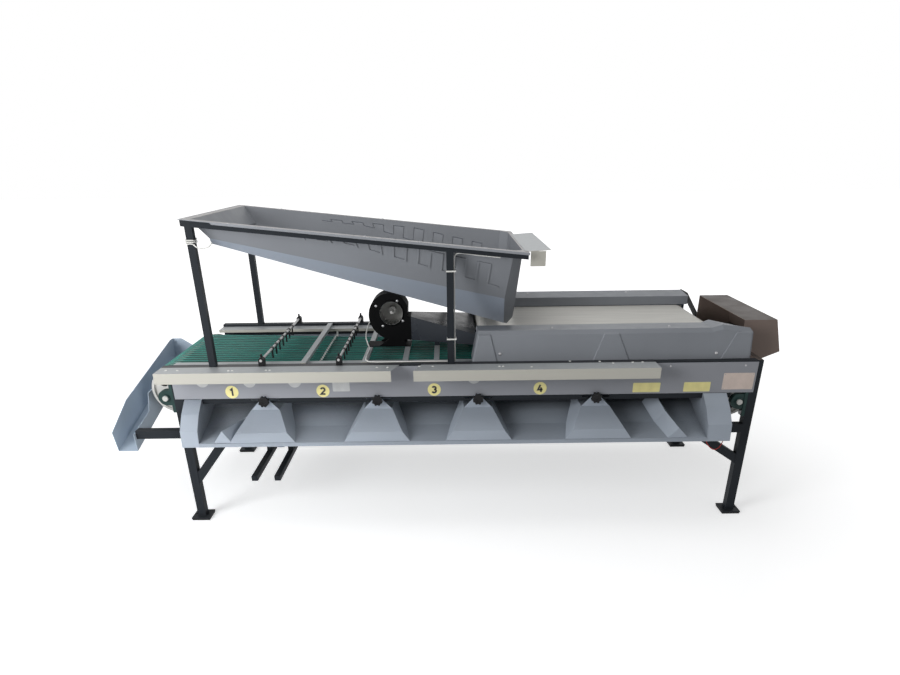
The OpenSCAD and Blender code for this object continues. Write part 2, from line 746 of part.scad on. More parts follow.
// Low wing on the left of the first divider: right foot, left foot, crest and its height along Y
wing_line = [[tent_front, -140, -221, -177, 58], [0, -112, -158, -125, 29], [60, -94, -118, -105, 4]];
module low_wing() translate([divider_x[0], 0, 0]) loft([for (w = wing_line) let (z = tent_at(w[0]) + gap)
  [[w[1], w[0], z], [w[2], w[0], z], [w[3], w[0], z + w[4]]]]);
module divider_1() place() color(panel_grey) {
  divider(0);
  low_wing();
}
module divider_2() place() color(panel_grey) divider(1);
module divider_3() place() color(panel_grey) divider(2);
module divider_4() place() color(panel_grey) divider(3);

// Star knob with its stud and nut
knob_t = 20;
lobe_count = 8;
lobe_d = 12;
nut_t = 6;
module knob(k) translate([divider_x[k], tab_y - clear, slot_z]) rotate([90, 0, 0]) {
  difference() {
    union() {
      cylinder(d = knob_d - 8, h = knob_t - 1);
      for (i = [0:lobe_count - 1]) rotate(360 * (i + 0.5) / lobe_count)
        translate([(knob_d - lobe_d) / 2, 0, 0.5]) cylinder(d = lobe_d, h = knob_t - 0.5, $fn = 24);
    }
    translate([0, 0, knob_t - 4]) cylinder(d = knob_d / 2 - 4, h = 5);
  }
  back = slot_y0 + slot_rail_t - tab_y + 2 * clear;
  translate([0, 0, -back - nut_t - 4]) cylinder(d = stud_d, h = back + nut_t + 5);
  translate([0, 0, -back - nut_t]) cylinder(d = 2 * stud_d, h = nut_t, $fn = 6);
}
module knob_1() place() color(black) knob(0);
module knob_2() place() color(black) knob(1);
module knob_3() place() color(black) knob(2);
module knob_4() place() color(black) knob(3);

// Chute at the head end: a sloping trough that takes the largest fruit to the near side
chute_t = 2;
chute_end_y = frame_w - leg_s;
chute_front_y = -15;
chute_low = -400;
chute_rise = 0.26;
apron_top = [-1506, -140];
apron_y = [125, chute_end_y - 50];
chute_step_z = -190;
function chute_floor(y) = chute_low + chute_rise * (y - chute_front_y);
module end_chute() place() color(shell_grey) {
  slab_x([[chute_front_y, chute_low], [chute_front_y, chute_low - chute_t],
    [chute_end_y, chute_floor(chute_end_y) - chute_t], [chute_end_y, chute_floor(chute_end_y)]],
    left_out, chute_in_x);
  slab_x([[chute_front_y, chute_low - chute_t], [-34, -299], [163, -207], [chute_end_y - 40, -74],
    [chute_end_y, -74], [chute_end_y, chute_floor(chute_end_y) - chute_t]], left_out, left_out + chute_t);
  slab_x([[chute_front_y, chute_low - chute_t], [-20, -317], [184, -272], [215, chute_step_z],
    [apron_y[1], chute_step_z], [apron_y[1], chute_floor(apron_y[1]) - chute_t]],
    chute_in_x - chute_t, chute_in_x);
  slab_y(fold([[chute_in_x - chute_t, chute_step_z], apron_top], -chute_t), 215, apron_y[1]);
  slab_y([[left_out, -250], [apron_top[0], -250], [apron_top[0], -138], [-1600, -74], [left_out, -74]],
    chute_end_y - chute_t, chute_end_y);
}

// Hopper: a folded trough that deepens and narrows towards its outlet over the feed belt

flange_y = flange_w - rim_out;
hopper_bottom = belt_top + 5;
mouth_x = 165;
mouth_y = 262;
mouth_h = 45;
skirt_h = 10;
rim_sunk = 1;
skirt_x = -1050;

// Left end, right shoulder and outlet end of the hopper's floor, side fold and rim
low_x = [-1082, 190, 231];
low_y = [85, 245, 285];
low_left_z = 517;
bend_x = [-1082, 183, 239];
bend_y = [70, 152, 200];
bend_z = [540, 258, 258];
top_x = [-1140, 210, 250];
top_y = [flange_y, flange_y, flange_y + 40];
inset_x = [1, 0, -1];
inset_y = [1, 1, 0];
function hopper_floor(x) = low_left_z + (hopper_bottom - low_left_z) * (x - low_x[0]) / (low_x[2] - low_x[0]);
function ring_both(near) = concat(near,
  [for (i = [len(near) - 1:-1:0]) [near[i][0], frame_w - near[i][1], near[i][2]]]);
function hopper_line(x, y, d) = [for (i = [0:2]) [x[i] + d * inset_x[i], y[i] + d * inset_y[i]]];
function hopper_rings(d, rise) = [
  ring_both([for (p = hopper_line(low_x, low_y, d)) [p[0], p[1], hopper_floor(p[0]) + d]]),
  let (line = hopper_line(bend_x, bend_y, d))
    ring_both([for (i = [0:2]) [line[i][0], line[i][1], bend_z[i]]]),
  ring_both([for (p = hopper_line(top_x, top_y, d)) [p[0], p[1], rim_z(p[0]) + rise]])];
module rim_plate(inner, z0, z1) {
  loft([for (z = [z0, z1]) ring_both([for (p = inner) [p[0], p[1], rim_z(p[0]) + z]])]);
}
rim_edge = [[rim_x0, -rim_out], [rim_x1, -rim_out]];

// Square-wave ridge on the outside of a side wall, its steps growing to the right
wave_steps = 17;
wave_from = 0.28;
wave_to = 0.97;
wave_upper = 0.36;
wave_lower = [0.47, 0.78];
wave_rib = 8;
wave_out = 4;
wave_in = 1.2;
groove_out = 1.2;
wall_top = [for (i = [0, 1]) hopper_rings(0, 0)[2][i]];
wall_low = [for (i = [0, 1]) hopper_rings(0, 0)[1][i]];
wall_normal = unit(cross(wall_low[0] - wall_top[0], wall_top[1] - wall_top[0]));
function wall_point(s, t) = s + t > 1
  ? wall_low[1] + (1 - s) * (wall_low[0] - wall_low[1]) + (1 - t) * (wall_top[1] - wall_low[1])
  : wall_top[0] + s * (wall_top[1] - wall_top[0]) + t * (wall_low[0] - wall_top[0]);
function wave_row(k, part) = k % 2 == 0 ? wave_lower[0] + (wave_lower[1] - wave_lower[0]) * part : wave_upper;
wave_route = [for (k = [0:wave_steps - 1], e = [0, 1]) let (part = (k + e) / wave_steps)
  wall_point(wave_from + (wave_to - wave_from) * part, wave_row(k, part))];
function wave_side(i) = cross(unit(wave_route[i + 1] - wave_route[i]), wall_normal);
wave_last = len(wave_route) - 1;
function wave_at(i, trim) = wave_route[i] + trim * (i == 0 ? unit(wave_route[1] - wave_route[0])
  : i == wave_last ? unit(wave_route[i - 1] - wave_route[i]) : [0, 0, 0]);
function wave_ring(i, width, inner, outer, trim) =
  let (m = wave_side(max(i - 1, 0)) + wave_side(min(i, wave_last - 1)), w = m * width / (m * m))
  [for (c = [[1, inner], [-1, inner], [-1, outer], [1, outer]])
    wave_at(i, trim) + c[0] * w + c[1] * wall_normal];
module wall_wave(width, inner, outer, trim)
  loft([for (i = [0:wave_last]) wave_ring(i, width, inner, outer, trim)]);

module hopper() place() color(shell_grey) {
  difference() {
    union() {
      loft(hopper_rings(0, -rim_sunk));
      both_sides() wall_wave(wave_rib, -wave_in, wave_out, 0);
    }
    loft(hopper_rings(hopper_t, rim_sunk));
    both_sides() wall_wave(wave_rib / 2, -hopper_t - 2, groove_out, hopper_t);
    box([mouth_x, mouth_y, 0], [rim_x1, frame_w - mouth_y, hopper_bottom + mouth_h]);
  }
  difference() {
    rim_plate(rim_edge, -hopper_t, 0);
    rim_plate(hopper_line(top_x, top_y, hopper_t), -hopper_t - 1, 1);
  }
  both_sides() slab_y([[skirt_x, rim_z(skirt_x) - rim_sunk], [skirt_x + 10, rim_z(skirt_x + 10) - skirt_h],
    [rim_x1, rim_z(rim_x1) - skirt_h], [rim_x1, rim_z(rim_x1) - rim_sunk]], -rim_out, hopper_t - rim_out);
  box([rim_x1 - hopper_t, -rim_out, rim_z(rim_x1) - skirt_h],
    [rim_x1, frame_w + rim_out, rim_z(rim_x1) - rim_sunk]);
}

// Stand: posts on the beams and bars under the hopper's flange
post_x = [-1155, -79];
stand_bar = 25;
function stand_top(x) = rim_z(x) - hopper_t;
end_bar = 15;
function bar_end(x) = [[x, stand_top(x) - stand_bar], [x + end_bar, stand_top(x + end_bar) - stand_bar],
  [x + end_bar, stand_top(x + end_bar)], [x, stand_top(x)]];
module rim_bars() place() color(slate) {
  ends = [rim_x0 + 4, rim_x1 - 4];
  both_sides() slab_y([for (p = [[ends[0], 0], [ends[1], 0], [ends[1], -stand_bar], [ends[0], -stand_bar]])
    [p[0], stand_top(p[0]) + p[1]]], 0, stand_bar);
  for (x = [rim_x0 + 4, rim_x1 - 4 - end_bar]) slab_y(bar_end(x), stand_bar, frame_w - stand_bar);
}

module stand_post(x, seat) difference() {
  slab_y([[x, seat], [x + post_s, seat], [x + post_s, stand_top(x + post_s) - stand_bar],
    [x, stand_top(x) - stand_bar]], 0, post_s);
  box([x + tube_t, tube_t, -1],
    [x + post_s - tube_t, post_s - tube_t, stand_top(x + post_s) - stand_bar - tube_t]);
}
module stand_posts() place() color(slate) {
  stand_post(post_x[0], strip_t);
  stand_post(post_x[1], strip_t);
  for (x = post_x) translate([0, frame_w, 0]) mirror([0, 1, 0]) stand_post(x, 0);
}

// Galvanised lip at the hopper's right end, its near end folded down
lip_x1 = 365;
lip_y = [34, 719];
lip_t = 2;
lip_fold = 60;
module lip_plate() place() color(zinc) {
  lip_line = [[rim_x1 - 16, rim_z(rim_x1 - 16)], [rim_x1, rim_z(rim_x1)], [lip_x1, rim_z(rim_x1) + 6]];
  slab_y(fold(lip_line, lip_t), lip_y[0], lip_y[1]);
  box([rim_x1 + 8, lip_y[0], rim_z(rim_x1) - lip_fold], [lip_x1 - 20, lip_y[0] + lip_t, rim_z(rim_x1) + 2]);
}

// Blower: volute housing with a bladed wheel, its motor and a flat duct

fan_c = [-348, 168];
fan_y = 300;
fan_wall = 2;
volute_r0 = 84;
volute_r1 = 131;
outlet_x = -254;
outlet_top = 150;
fan_feet_z = bar_top;
wheel_w = fan_depth - 24;
motor_hole_r = 26;
function volute(a) = volute_r0 + (volute_r1 - volute_r0) * pow(a / 270, 1.6);
function volute_line(d) = concat([for (a = [20:10:270]) fan_c + (volute(a) - d) * [cos(a), sin(a)]],
  [[outlet_x + (d > 0 ? 1 : 0), fan_c[1] - volute_r1 + d], [outlet_x + (d > 0 ? 1 : 0), outlet_top - d],
   [fan_c[0] + (volute_r0 - d) * cos(20) - 2, outlet_top - d]]);
module fan_housing() place() color(black) {
  difference() {
    slab_y(volute_line(0), fan_y, fan_y + fan_depth);
    slab_y(volute_line(fan_wall), fan_y + fan_wall, fan_y + fan_depth - fan_wall);
    rod_y(fan_c[0], fan_c[1], fan_y - 1, fan_y + 10, 2 * inlet_r);
    rod_y(fan_c[0], fan_c[1], fan_y + fan_depth - 10, fan_y + fan_depth + 1, 2 * motor_hole_r);
  }
  translate([fan_c[0], fan_y, fan_c[1]]) rotate([90, 0, 0]) rotate_extrude($fn = 64)
    polygon([[inlet_r, -fan_wall], [inlet_r + 8, -fan_wall], [inlet_r + 8, 0], [inlet_r + 3, 5],
      [inlet_r, 5]]);
  box([bar_x[1] - bar_w / 2, fan_y + 4, fan_feet_z],
    [bar_x[2] + bar_w / 2, fan_y + fan_depth - 4, fan_feet_z + 3]);
  for (y = [fan_y + 4, fan_y + fan_depth - 7]) slab_y([[-420, fan_feet_z], [-280, fan_feet_z],
    [-290, fan_c[1] - volute_r1 + 1], [-365, fan_c[1] - volute_r1 + 6]], y, y + 3);
}

fan_motor_r = 52;
fan_motor_l = 120;
fan_shaft_d = 12;
module fan_motor() place() color(black) translate([fan_c[0], fan_y + fan_depth, fan_c[1]])
  rotate([-90, 0, 0]) difference() {
  union() {
    cylinder(r = fan_motor_r + 6, h = 8);
    cylinder(r = fan_motor_r, h = fan_motor_l);
    translate([0, 0, fan_motor_l]) cylinder(r1 = fan_motor_r, r2 = fan_motor_r - 12, h = 14);
    translate([-fan_motor_r - 16, -20, 24]) cube([24, 40, 50]);
  }
  translate([0, 0, -1]) cylinder(d = fan_shaft_d + 2 * run_fit, h = 31);
}

module fan_wheel() place() color([0.2, 0.2, 0.22]) translate([fan_c[0], fan_y + 12, fan_c[1]])
  rotate([-90, 0, 0]) {
  for (k = [0:blade_count - 1]) rotate(360 * k / blade_count) translate([wheel_r - 9, 0, 1])
    rotate(32) translate([-9, -1, 0]) cube([18, 2, wheel_w - 2]);
  difference() {
    cylinder(r = wheel_r, h = 3);
    translate([0, 0, -1]) cylinder(r = wheel_r - 16, h = 5);
  }
  translate([0, 0, wheel_w - 4]) cylinder(r = wheel_r, h = 3);
  translate([0, 0, wheel_w - 40]) cylinder(d = 36, h = 40);
  cylinder(d = fan_shaft_d, h = fan_depth - 12 + 29);
}

// Duct that spreads the blower's air across the bed
duct_x1 = 55;
duct_rings = [[outlet_x, fan_y, fan_y + fan_depth, fan_c[1] - volute_r1, outlet_top],
  [duct_x1, 200, 680, 34, 85]];
function duct_ring(r, d, dx) = [[r[0] + dx, r[1] + d, r[3] + d], [r[0] + dx, r[2] - d, r[3] + d],
  [r[0] + dx, r[2] - d, r[4] - d], [r[0] + dx, r[1] + d, r[4] - d]];
module fan_duct() place() color(slate) {
  difference() {
    loft([duct_ring(duct_rings[0], 0, 0), duct_ring(duct_rings[1], 0, 0)]);
    loft([duct_ring(duct_rings[0], fan_wall, -1), duct_ring(duct_rings[1], fan_wall, 1)]);
  }
  x = bar_x[3];
  seat_z = 36;
  for (y = [fan_y + 20, fan_y + fan_depth + 60])
    box([x - bar_w / 2, y, bar_top], [x + bar_w / 2, y + 4, seat_z]);
}

// Feed conveyor: rollers, belt and slider bed on the cross members

belt_y0 = yc - belt_w / 2;
belt_y1 = yc + belt_w / 2;
belt_in_r = roller_r + clear;
roller_z = belt_top - belt_t - belt_in_r;
side_t = 3;
side_gap = 9;
side_y = belt_y0 - side_gap - side_t;
side_top = belt_top - 5;
side_over = 40;
bed_in = 10;
flange_bearing_t = 12;
bearing_boss_l = 22;

module belt_line(r) {
  for (x = [feed_tail_x, feed_drive_x]) translate([x, roller_z]) circle(r = r, $fn = 64);
  translate([feed_tail_x, roller_z - r]) square([feed_drive_x - feed_tail_x, 2 * r]);
}
module feed_belt() place() color([0.93, 0.93, 0.9]) translate([0, belt_y1, 0]) rotate([90, 0, 0])
  linear_extrude(belt_w)
  difference() {
    belt_line(belt_in_r + belt_t);
    belt_line(belt_in_r);
  }

module belt_bed() place() color(zinc) {
  slider_top = roller_z + belt_in_r - clear;
  box([feed_tail_x + roller_r + bed_in, side_y + side_t, slider_top - side_t],
    [feed_drive_x - roller_r - bed_in, frame_w - side_y - side_t, slider_top]);
  both_sides() difference() {
    box([feed_tail_x - side_over, side_y, member_z1], [feed_drive_x + side_over, side_y + side_t, side_top]);
    for (x = [feed_tail_x, feed_drive_x]) rod_y(x, roller_z, side_y - 1, side_y + side_t + 1, journal_d + 6);
  }
}

module flange_bearing() difference() {
  union() {
    translate([-30, -flange_bearing_t, -30]) cube([60, flange_bearing_t, 60]);
    rotate([90, 0, 0]) cylinder(d = 44, h = bearing_boss_l);
  }
  translate([0, 1, 0]) rotate([90, 0, 0]) cylinder(d = journal_d + 2 * run_fit, h = bearing_boss_l + 2);
}
module roller_bearings() place() color([0.1, 0.24, 0.2]) both_sides() for (x = [feed_tail_x, feed_drive_x]) {
  translate([x, side_y, roller_z]) flange_bearing();
}

roller_end = 4;
module roller(x, out0, out1) {
  rod_y(x, roller_z, side_y + side_t + roller_end, frame_w - side_y - side_t - roller_end, 2 * roller_r);
  rod_y(x, roller_z, side_y - out0, frame_w - side_y + out1, journal_d);
}
gearbox_l = 64;
gearbox_y = frame_w - side_y + bearing_boss_l;
module drive_roller() place() color(pale)
  roller(feed_drive_x, bearing_boss_l + 4, bearing_boss_l + gearbox_l);
module tail_roller() place() color(pale) roller(feed_tail_x, bearing_boss_l + 4, bearing_boss_l + 4);

// Worm gearmotor on the far end of the drive roller
gearbox_w = 110;
gearbox_h = 118;
feed_motor_r = 46;
feed_motor_l = 220;
module feed_gearmotor() place() color([0.25, 0.33, 0.45]) difference() {
  union() {
    left = feed_drive_x - gearbox_w / 2;
    box([left, gearbox_y, member_z1], [left + gearbox_w, gearbox_y + gearbox_l, member_z1 + gearbox_h]);
    translate([left, gearbox_y + gearbox_l / 2, member_z1 + gearbox_h - 40]) rotate([0, -90, 0])
      finned_motor(feed_motor_r, feed_motor_l);
  }
  rod_y(feed_drive_x, roller_z, gearbox_y - 1, gearbox_y + gearbox_l + 1, journal_d + 2 * run_fit);
}

// Black guard behind the drive, standing on the far beam
guard_t = 2;
guard_top = [1226, 164];
guard_foot = [1322, 14];
guard_y = [742, 862];
module feed_guard() place() color(black)
  slab_y(fold([guard_top, guard_foot, [guard_foot[0], 0]], -guard_t), guard_y[0], guard_y[1]);

// Moulded covers along both sides of the feed belt

cover_foot_y = 33;
cover_in_y = belt_y0 + 6;
cover_drop = 8;
cover_x0 = 33;
cover_x1 = xr - 50;
cover_lean = 26;
cover_cut = 140;
cover_hump = 15;
cover_belt_gap = 3;
cover_roll = 20;
cover_edge = 18;
cover_batter = 6;

// Raised pads on the outer face: foot and top ends of each along X
pad_foot = [[33, 147], [582, 747], [1163, 1300]];
pad_top = [[59, 118], [623, 695], [1218, 1300]];
pad_rise = 5;
pad_ease = 4;
cover_open_y = side_y - bearing_boss_l - 6;
function cover_outline(top, d) = [[cover_foot_y + d, d > 0 ? -1 : 0], [cover_in_y - d, d > 0 ? -1 : 0],
  [cover_in_y - d, top - cover_drop - d], [cover_foot_y + cover_roll + d / 2, top - d],
  [cover_foot_y + cover_batter + d, top - cover_edge - d / 2]];
function cover_ring(points, x, lean, cut) = [for (p = points)
  [x + lean * p[1] - cut * (p[0] - cover_foot_y) / (cover_in_y - cover_foot_y), p[0], p[1]]];
function cover_stations(ridge, x1, cut, hump) = [[cover_x0, 0, cover_lean / ridge, 0],
  [x1 - 190, hump / 8, 0, 0], [x1 - 140, hump, 0, cut / 8], [x1 - 45, hump / 3, 0, cut * 0.75],
  [x1, 0, 0, cut]];
module cover_form(ridge, x1, cut, hump, d) {
  s = cover_stations(ridge, x1, cut, hump);
  inset = [d, 0, 0, 0, -1.4 * d];
  loft([for (k = [0:4]) cover_ring(cover_outline(ridge + s[k][1], d), s[k][0] + inset[k], s[k][2], s[k][3])]);
}
function pad_ring(x0, x1, y, z, rise) =
  [[x0, y + 2, z], [x0 + pad_ease, y - rise, z], [x1 - pad_ease, y - rise, z], [x1, y + 2, z]];
function pad_end(x, y, x1, cut) = min(x, x1 - 2 - cut * (y + 2 - cover_foot_y) / (cover_in_y - cover_foot_y));
module cover_pads(ridge, x1, cut) for (k = [0:len(pad_foot) - 1]) if (pad_top[k][0] + 20 < x1) {
  foot_x = max(pad_foot[k][0], cover_x0 + 2);
  batter_y = cover_foot_y + cover_batter;
  roll_y = cover_foot_y + cover_roll;
  loft([pad_ring(foot_x, pad_end(pad_foot[k][1], cover_foot_y, x1, cut), cover_foot_y, strip_t + gap,
      pad_rise),
    pad_ring(pad_top[k][0], pad_end(pad_top[k][1], batter_y, x1, cut), batter_y, ridge - cover_edge,
      pad_rise),
    pad_ring(pad_top[k][0] + 2, pad_end(pad_top[k][1] - 2, roll_y, x1, cut), roll_y, ridge - 5, 0)]);
}
module cover(ridge, x1, cut, hump) difference() {
  union() {
    cover_form(ridge, x1, cut, hump, 0);
    cover_pads(ridge, x1, cut);
  }
  cover_form(ridge, x1, cut, hump, cover_t);
  box([cover_x0 - 1, cover_open_y, -1], [x1 + 1, cover_in_y + 1, belt_top + cover_belt_gap]);
}
far_cover_x1 = guard_top[0] - 8;
far_cover_cut = 6;
module near_cover() place() color(shell_grey) cover(near_ridge, cover_x1, cover_cut, cover_hump);
module far_cover() place() color(shell_grey) translate([0, frame_w, 0]) mirror([0, 1, 0])
  cover(far_ridge, far_cover_x1, far_cover_cut, 0);

// Sheet hood at the tail end: the belt drops the fruit in it, its slide turns them onto the ropes
hood_x0 = 1293;
hood_x1 = 1441;
hood_y = 140;
hood_t = 2;
hood_low = right_out - hood_t;
hood_foot = [1328, 1348];
slide_end = [1302, -72];
module hood_side()
  slab_y([[hood_x0, 0], [hood_low, 0], [hood_x1, hood_h], [hood_x0, hood_h]], hood_y, hood_y + hood_t);
module end_hood() place() color([0.42, 0.38, 0.34]) {
  slab_y(fold([[hood_x0, hood_h - hood_t], [hood_x1, hood_h - hood_t], [hood_low, 0]], hood_t),
    hood_y, frame_w - hood_y);
  slab_y(fold([slide_end, [hood_low, 8]], -hood_t), hood_y + hood_t, frame_w - hood_y - hood_t);
  both_sides() {
    hood_side();
    slab_y([[slide_end[0], slide_end[1] - hood_t], [hood_low, 0], [hood_x0, 0]], hood_y, hood_y + hood_t);
    box([hood_foot[0], 6, 0], [hood_foot[1], hood_y, hood_t]);
  }
}

// Cable of the blower: under the rim, down the right post, along the beam and a cross bar
cable_d = 6;
cable_x = -45.5;
cable_route = [[150, 13, 455], [60, 13, 465], [-30, 13, 474], [-42, 13, 466], [cable_x, 14, 440],
  [cable_x, 14, 300], [cable_x, 14, 160], [cable_x, 14, 40], [cable_x, 21, 15], [cable_x, 33, 7],
  [-55, 38, 5], [-80, 37, 4], [-120, 37, 4], [-280, 37, 4], [-400, 37, 4],
  [-438, 40, 5], [-452, 56, 7], [-456, 90, 7], [-456, 200, 7], [-458, 260, 8], [-468, 290, 22],
  [-480, 330, 44], [-478, 400, 76], [-458, 446, 120], [-436, 458, 156], [-416, 460, 168]];
module fan_cable() place() color("white") cord(cable_route, cable_d, 8);

// Cord wound on the left post
post_cord_d = 5;
post_turns = 3;
wind_pitch = 7;
wind_z = 545;
wind_bend = 2 * post_cord_d;
wind_flat = (post_s / sqrt(2) + post_cord_d / 2 + clear - wind_bend);
bend_steps = 6;
turn_steps = 4 * bend_steps;
post_mid = [post_x[0] + post_s / 2, post_s / 2];
wind_route = [for (k = [0:post_turns * turn_steps - bend_steps])
  let (c = 90 * floor(k / bend_steps), a = c + 90 * (k % bend_steps) / (bend_steps - 1))
  [post_mid[0] + wind_flat * cos(c + 45) + wind_bend * cos(a),
   post_mid[1] + wind_flat * sin(c + 45) + wind_bend * sin(a), wind_z - wind_pitch * k / turn_steps]];
wind_tail = [for (p = [[19, -24, -26], [34, -30, -34], [58, -31, -36], [80, -26, -28], [90, -18, -14]])
  [post_mid[0] + p[0], post_mid[1] + p[1], wind_z + p[2]]];
module post_cord() place() color("white") cord(concat(wind_route, wind_tail), post_cord_d, 6);

// Tie clips that hold the cable to the post
clip_z = [110, 400];
module wire_clips() place() color("white") for (z = clip_z) difference() {
  translate([post_x[1] - 2, -2, z]) cube([post_s + 13, post_s + 4, 6]);
  translate([post_x[1] - clear, -clear, z - 1]) cube([post_s + 2 * clear, post_s + 2 * clear, 8]);
  translate([cable_x, 14, z - 1]) cylinder(d = cable_d + 1, h = 8);
}

// Earth wire that hangs in a loop under the tray's right end
wire_d = 4;
wire_route = [[1110, -60, -300], [1112, -70, -330], [1120, -78, -362], [1140, -82, -390],
  [1165, -80, -402], [1190, -70, -392],
  [1210, -50, -366], [1222, -28, -344], [1226, -12, -330], [1226, -0.2, -330]];
module earth_wire() place() color("red") cord(wire_route, wire_d, 8);

echo("least gap in the wound cord", wind_pitch - post_cord_d);

side_beams();
legs();
foot_plates();
foot_pads();
lower_rails();
knee_braces();
cross_members();
chute_arms();
motor_cradle();
near_fascia();
far_fascia();
slot_rail();
cover_strips();
bed_guides();
cross_bars();
outlet_tray();
ridge_divider();
end_chute();
hopper();
stand_posts();
rim_bars();
lip_plate();
fan_housing();
fan_motor();
fan_duct();
rope_comb();
ropes();
feed_belt();
belt_bed();
near_cover();
far_cover();
end_hood();
drum_bearings();
roller_bearings();
drum_gearmotor();
drive_chain();
feed_gearmotor();
feed_guard();
comb_clamps();
fan_cable();
post_cord();
wire_clips();
earth_wire();
head_drum();
head_sprocket();
tail_drum();
motor_sprocket();
drive_roller();
tail_roller();
fan_wheel();
divider_1();
divider_2();
divider_3();
divider_4();
knob_1();
knob_2();
knob_3();
knob_4();
comb_bar_1();
comb_bar_2();
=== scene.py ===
import math

import bmesh
import bpy
from mathutils import Matrix, Vector
from mathutils.bvhtree import BVHTree


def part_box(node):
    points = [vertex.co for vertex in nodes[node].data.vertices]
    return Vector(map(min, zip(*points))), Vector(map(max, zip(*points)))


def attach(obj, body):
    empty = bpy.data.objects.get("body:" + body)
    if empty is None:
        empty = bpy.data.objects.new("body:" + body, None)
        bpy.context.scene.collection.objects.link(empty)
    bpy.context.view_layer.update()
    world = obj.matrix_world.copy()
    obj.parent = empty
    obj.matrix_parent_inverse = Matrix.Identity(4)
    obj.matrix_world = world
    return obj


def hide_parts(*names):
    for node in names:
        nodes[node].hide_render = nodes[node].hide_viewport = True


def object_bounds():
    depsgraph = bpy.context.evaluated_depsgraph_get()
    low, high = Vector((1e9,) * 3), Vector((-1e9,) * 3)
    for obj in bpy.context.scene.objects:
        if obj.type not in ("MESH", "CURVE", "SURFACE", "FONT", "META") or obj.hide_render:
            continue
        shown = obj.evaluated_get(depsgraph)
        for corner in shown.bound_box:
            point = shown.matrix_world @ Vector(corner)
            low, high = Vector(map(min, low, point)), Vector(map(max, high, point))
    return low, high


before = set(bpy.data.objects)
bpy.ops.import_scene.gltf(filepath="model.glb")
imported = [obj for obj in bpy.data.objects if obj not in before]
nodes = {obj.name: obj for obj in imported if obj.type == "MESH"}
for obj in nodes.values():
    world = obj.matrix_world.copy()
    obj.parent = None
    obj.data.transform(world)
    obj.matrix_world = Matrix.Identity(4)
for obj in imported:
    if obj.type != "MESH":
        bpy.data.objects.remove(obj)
cadBox = [list(corner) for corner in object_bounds()]
scene = bpy.context.scene
scene.view_settings.view_transform = "Standard"
print("frame loaded:", len(nodes), "nodes")

# Working lines of the machine, in metres: X from the middle of the beams, Y from the near
# beam's face and Z from the beams' top, moved to the frame by machinePoint
beamLow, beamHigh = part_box("side_beams")
machineX = (beamLow.x + beamHigh.x) / 2
machineY = beamLow.y
machineZ = beamHigh.z


def machinePoint(x, y, z):
    return Vector((machineX + x, machineY + y, machineZ + z))


# Camera, at the photograph's place

cameraSettings = {
    "place": (-0.0750, -2.8598, 0.8379),
    "pitch": 0.4621,
    "roll": -0.0125,
    "lens": 26.0,
    "sensor": 36.0,
    "shiftUp": 143.0 / 900.0,
    "clip": (0.05, 100.0),
}


def makeCamera():
    s = cameraSettings
    data = bpy.data.cameras.new("camera")
    data.lens = s["lens"]
    data.sensor_width = s["sensor"]
    data.shift_y = s["shiftUp"]
    data.clip_start, data.clip_end = s["clip"]
    cam = bpy.data.objects.new("camera", data)
    scene.collection.objects.link(cam)
    ahead = Vector((0.0, math.cos(s["pitch"]), -math.sin(s["pitch"])))
    right = Vector((1.0, 0.0, 0.0))
    up = right.cross(ahead)
    turnedRight = right * math.cos(s["roll"]) + up * math.sin(s["roll"])
    turnedUp = up * math.cos(s["roll"]) - right * math.sin(s["roll"])
    turn = Matrix((turnedRight, turnedUp, -ahead)).transposed()
    cam.matrix_world = Matrix.Translation(machinePoint(*s["place"])) @ turn.to_4x4()
    scene.camera = cam


makeCamera()
print("camera placed")


# Material helpers

noiseRoughness = 0.55


def newMaterial(name):
    mat = bpy.data.materials.new(name)
    mat.use_nodes = True
    tree = mat.node_tree
    shader = tree.nodes["Principled BSDF"]
    return mat, tree, shader


def addNode(tree, kind, **values):
    node = tree.nodes.new(kind)
    for key, value in values.items():
        if hasattr(node, key):
            setattr(node, key, value)
        else:
            node.inputs[key.replace("_", " ")].default_value = value
    return node


def objectCoords(tree, scale=(1.0, 1.0, 1.0)):
    coords = addNode(tree, "ShaderNodeTexCoord")
    mapping = addNode(tree, "ShaderNodeMapping")
    mapping.inputs["Scale"].default_value = scale
    tree.links.new(coords.outputs["Object"], mapping.inputs["Vector"])
    return mapping.outputs["Vector"]


def normalAxis(tree, axis):
    # one axis of the surface's normal
    geo = addNode(tree, "ShaderNodeNewGeometry")
    axes = addNode(tree, "ShaderNodeSeparateXYZ")
    tree.links.new(geo.outputs["Normal"], axes.inputs["Vector"])
    return axes.outputs[axis]


def noise(tree, vector, scale, detail):
    node = addNode(tree, "ShaderNodeTexNoise", Scale=scale, Detail=detail, Roughness=noiseRoughness)
    tree.links.new(vector, node.inputs["Vector"])
    return node.outputs["Fac"]


def spread(tree, value, low, high, fromLow=0.3, fromHigh=0.7):
    node = addNode(tree, "ShaderNodeMapRange")
    node.inputs["From Min"].default_value = fromLow
    node.inputs["From Max"].default_value = fromHigh
    node.inputs["To Min"].default_value = low
    node.inputs["To Max"].default_value = high
    tree.links.new(value, node.inputs["Value"])
    return node.outputs["Result"]


def bump(tree, shader, height, strength, distance):
    node = addNode(tree, "ShaderNodeBump", Strength=strength, Distance=distance)
    tree.links.new(height, node.inputs["Height"])
    tree.links.new(node.outputs["Normal"], shader.inputs["Normal"])


def shade(colour, factor):
    return tuple(min(1.0, c * factor) for c in colour)


def toneDrift(tree, value, colour, dark, pale, start=0.3, end=0.7):
    # the colour times one factor at the start of the value's range and another at its end
    node = addNode(tree, "ShaderNodeValToRGB")
    for element, place, factor in zip(node.color_ramp.elements, (start, end), (dark, pale)):
        element.position = place
        element.color = (*shade(colour, factor), 1.0)
    tree.links.new(value, node.inputs["Fac"])
    return node.outputs["Color"]


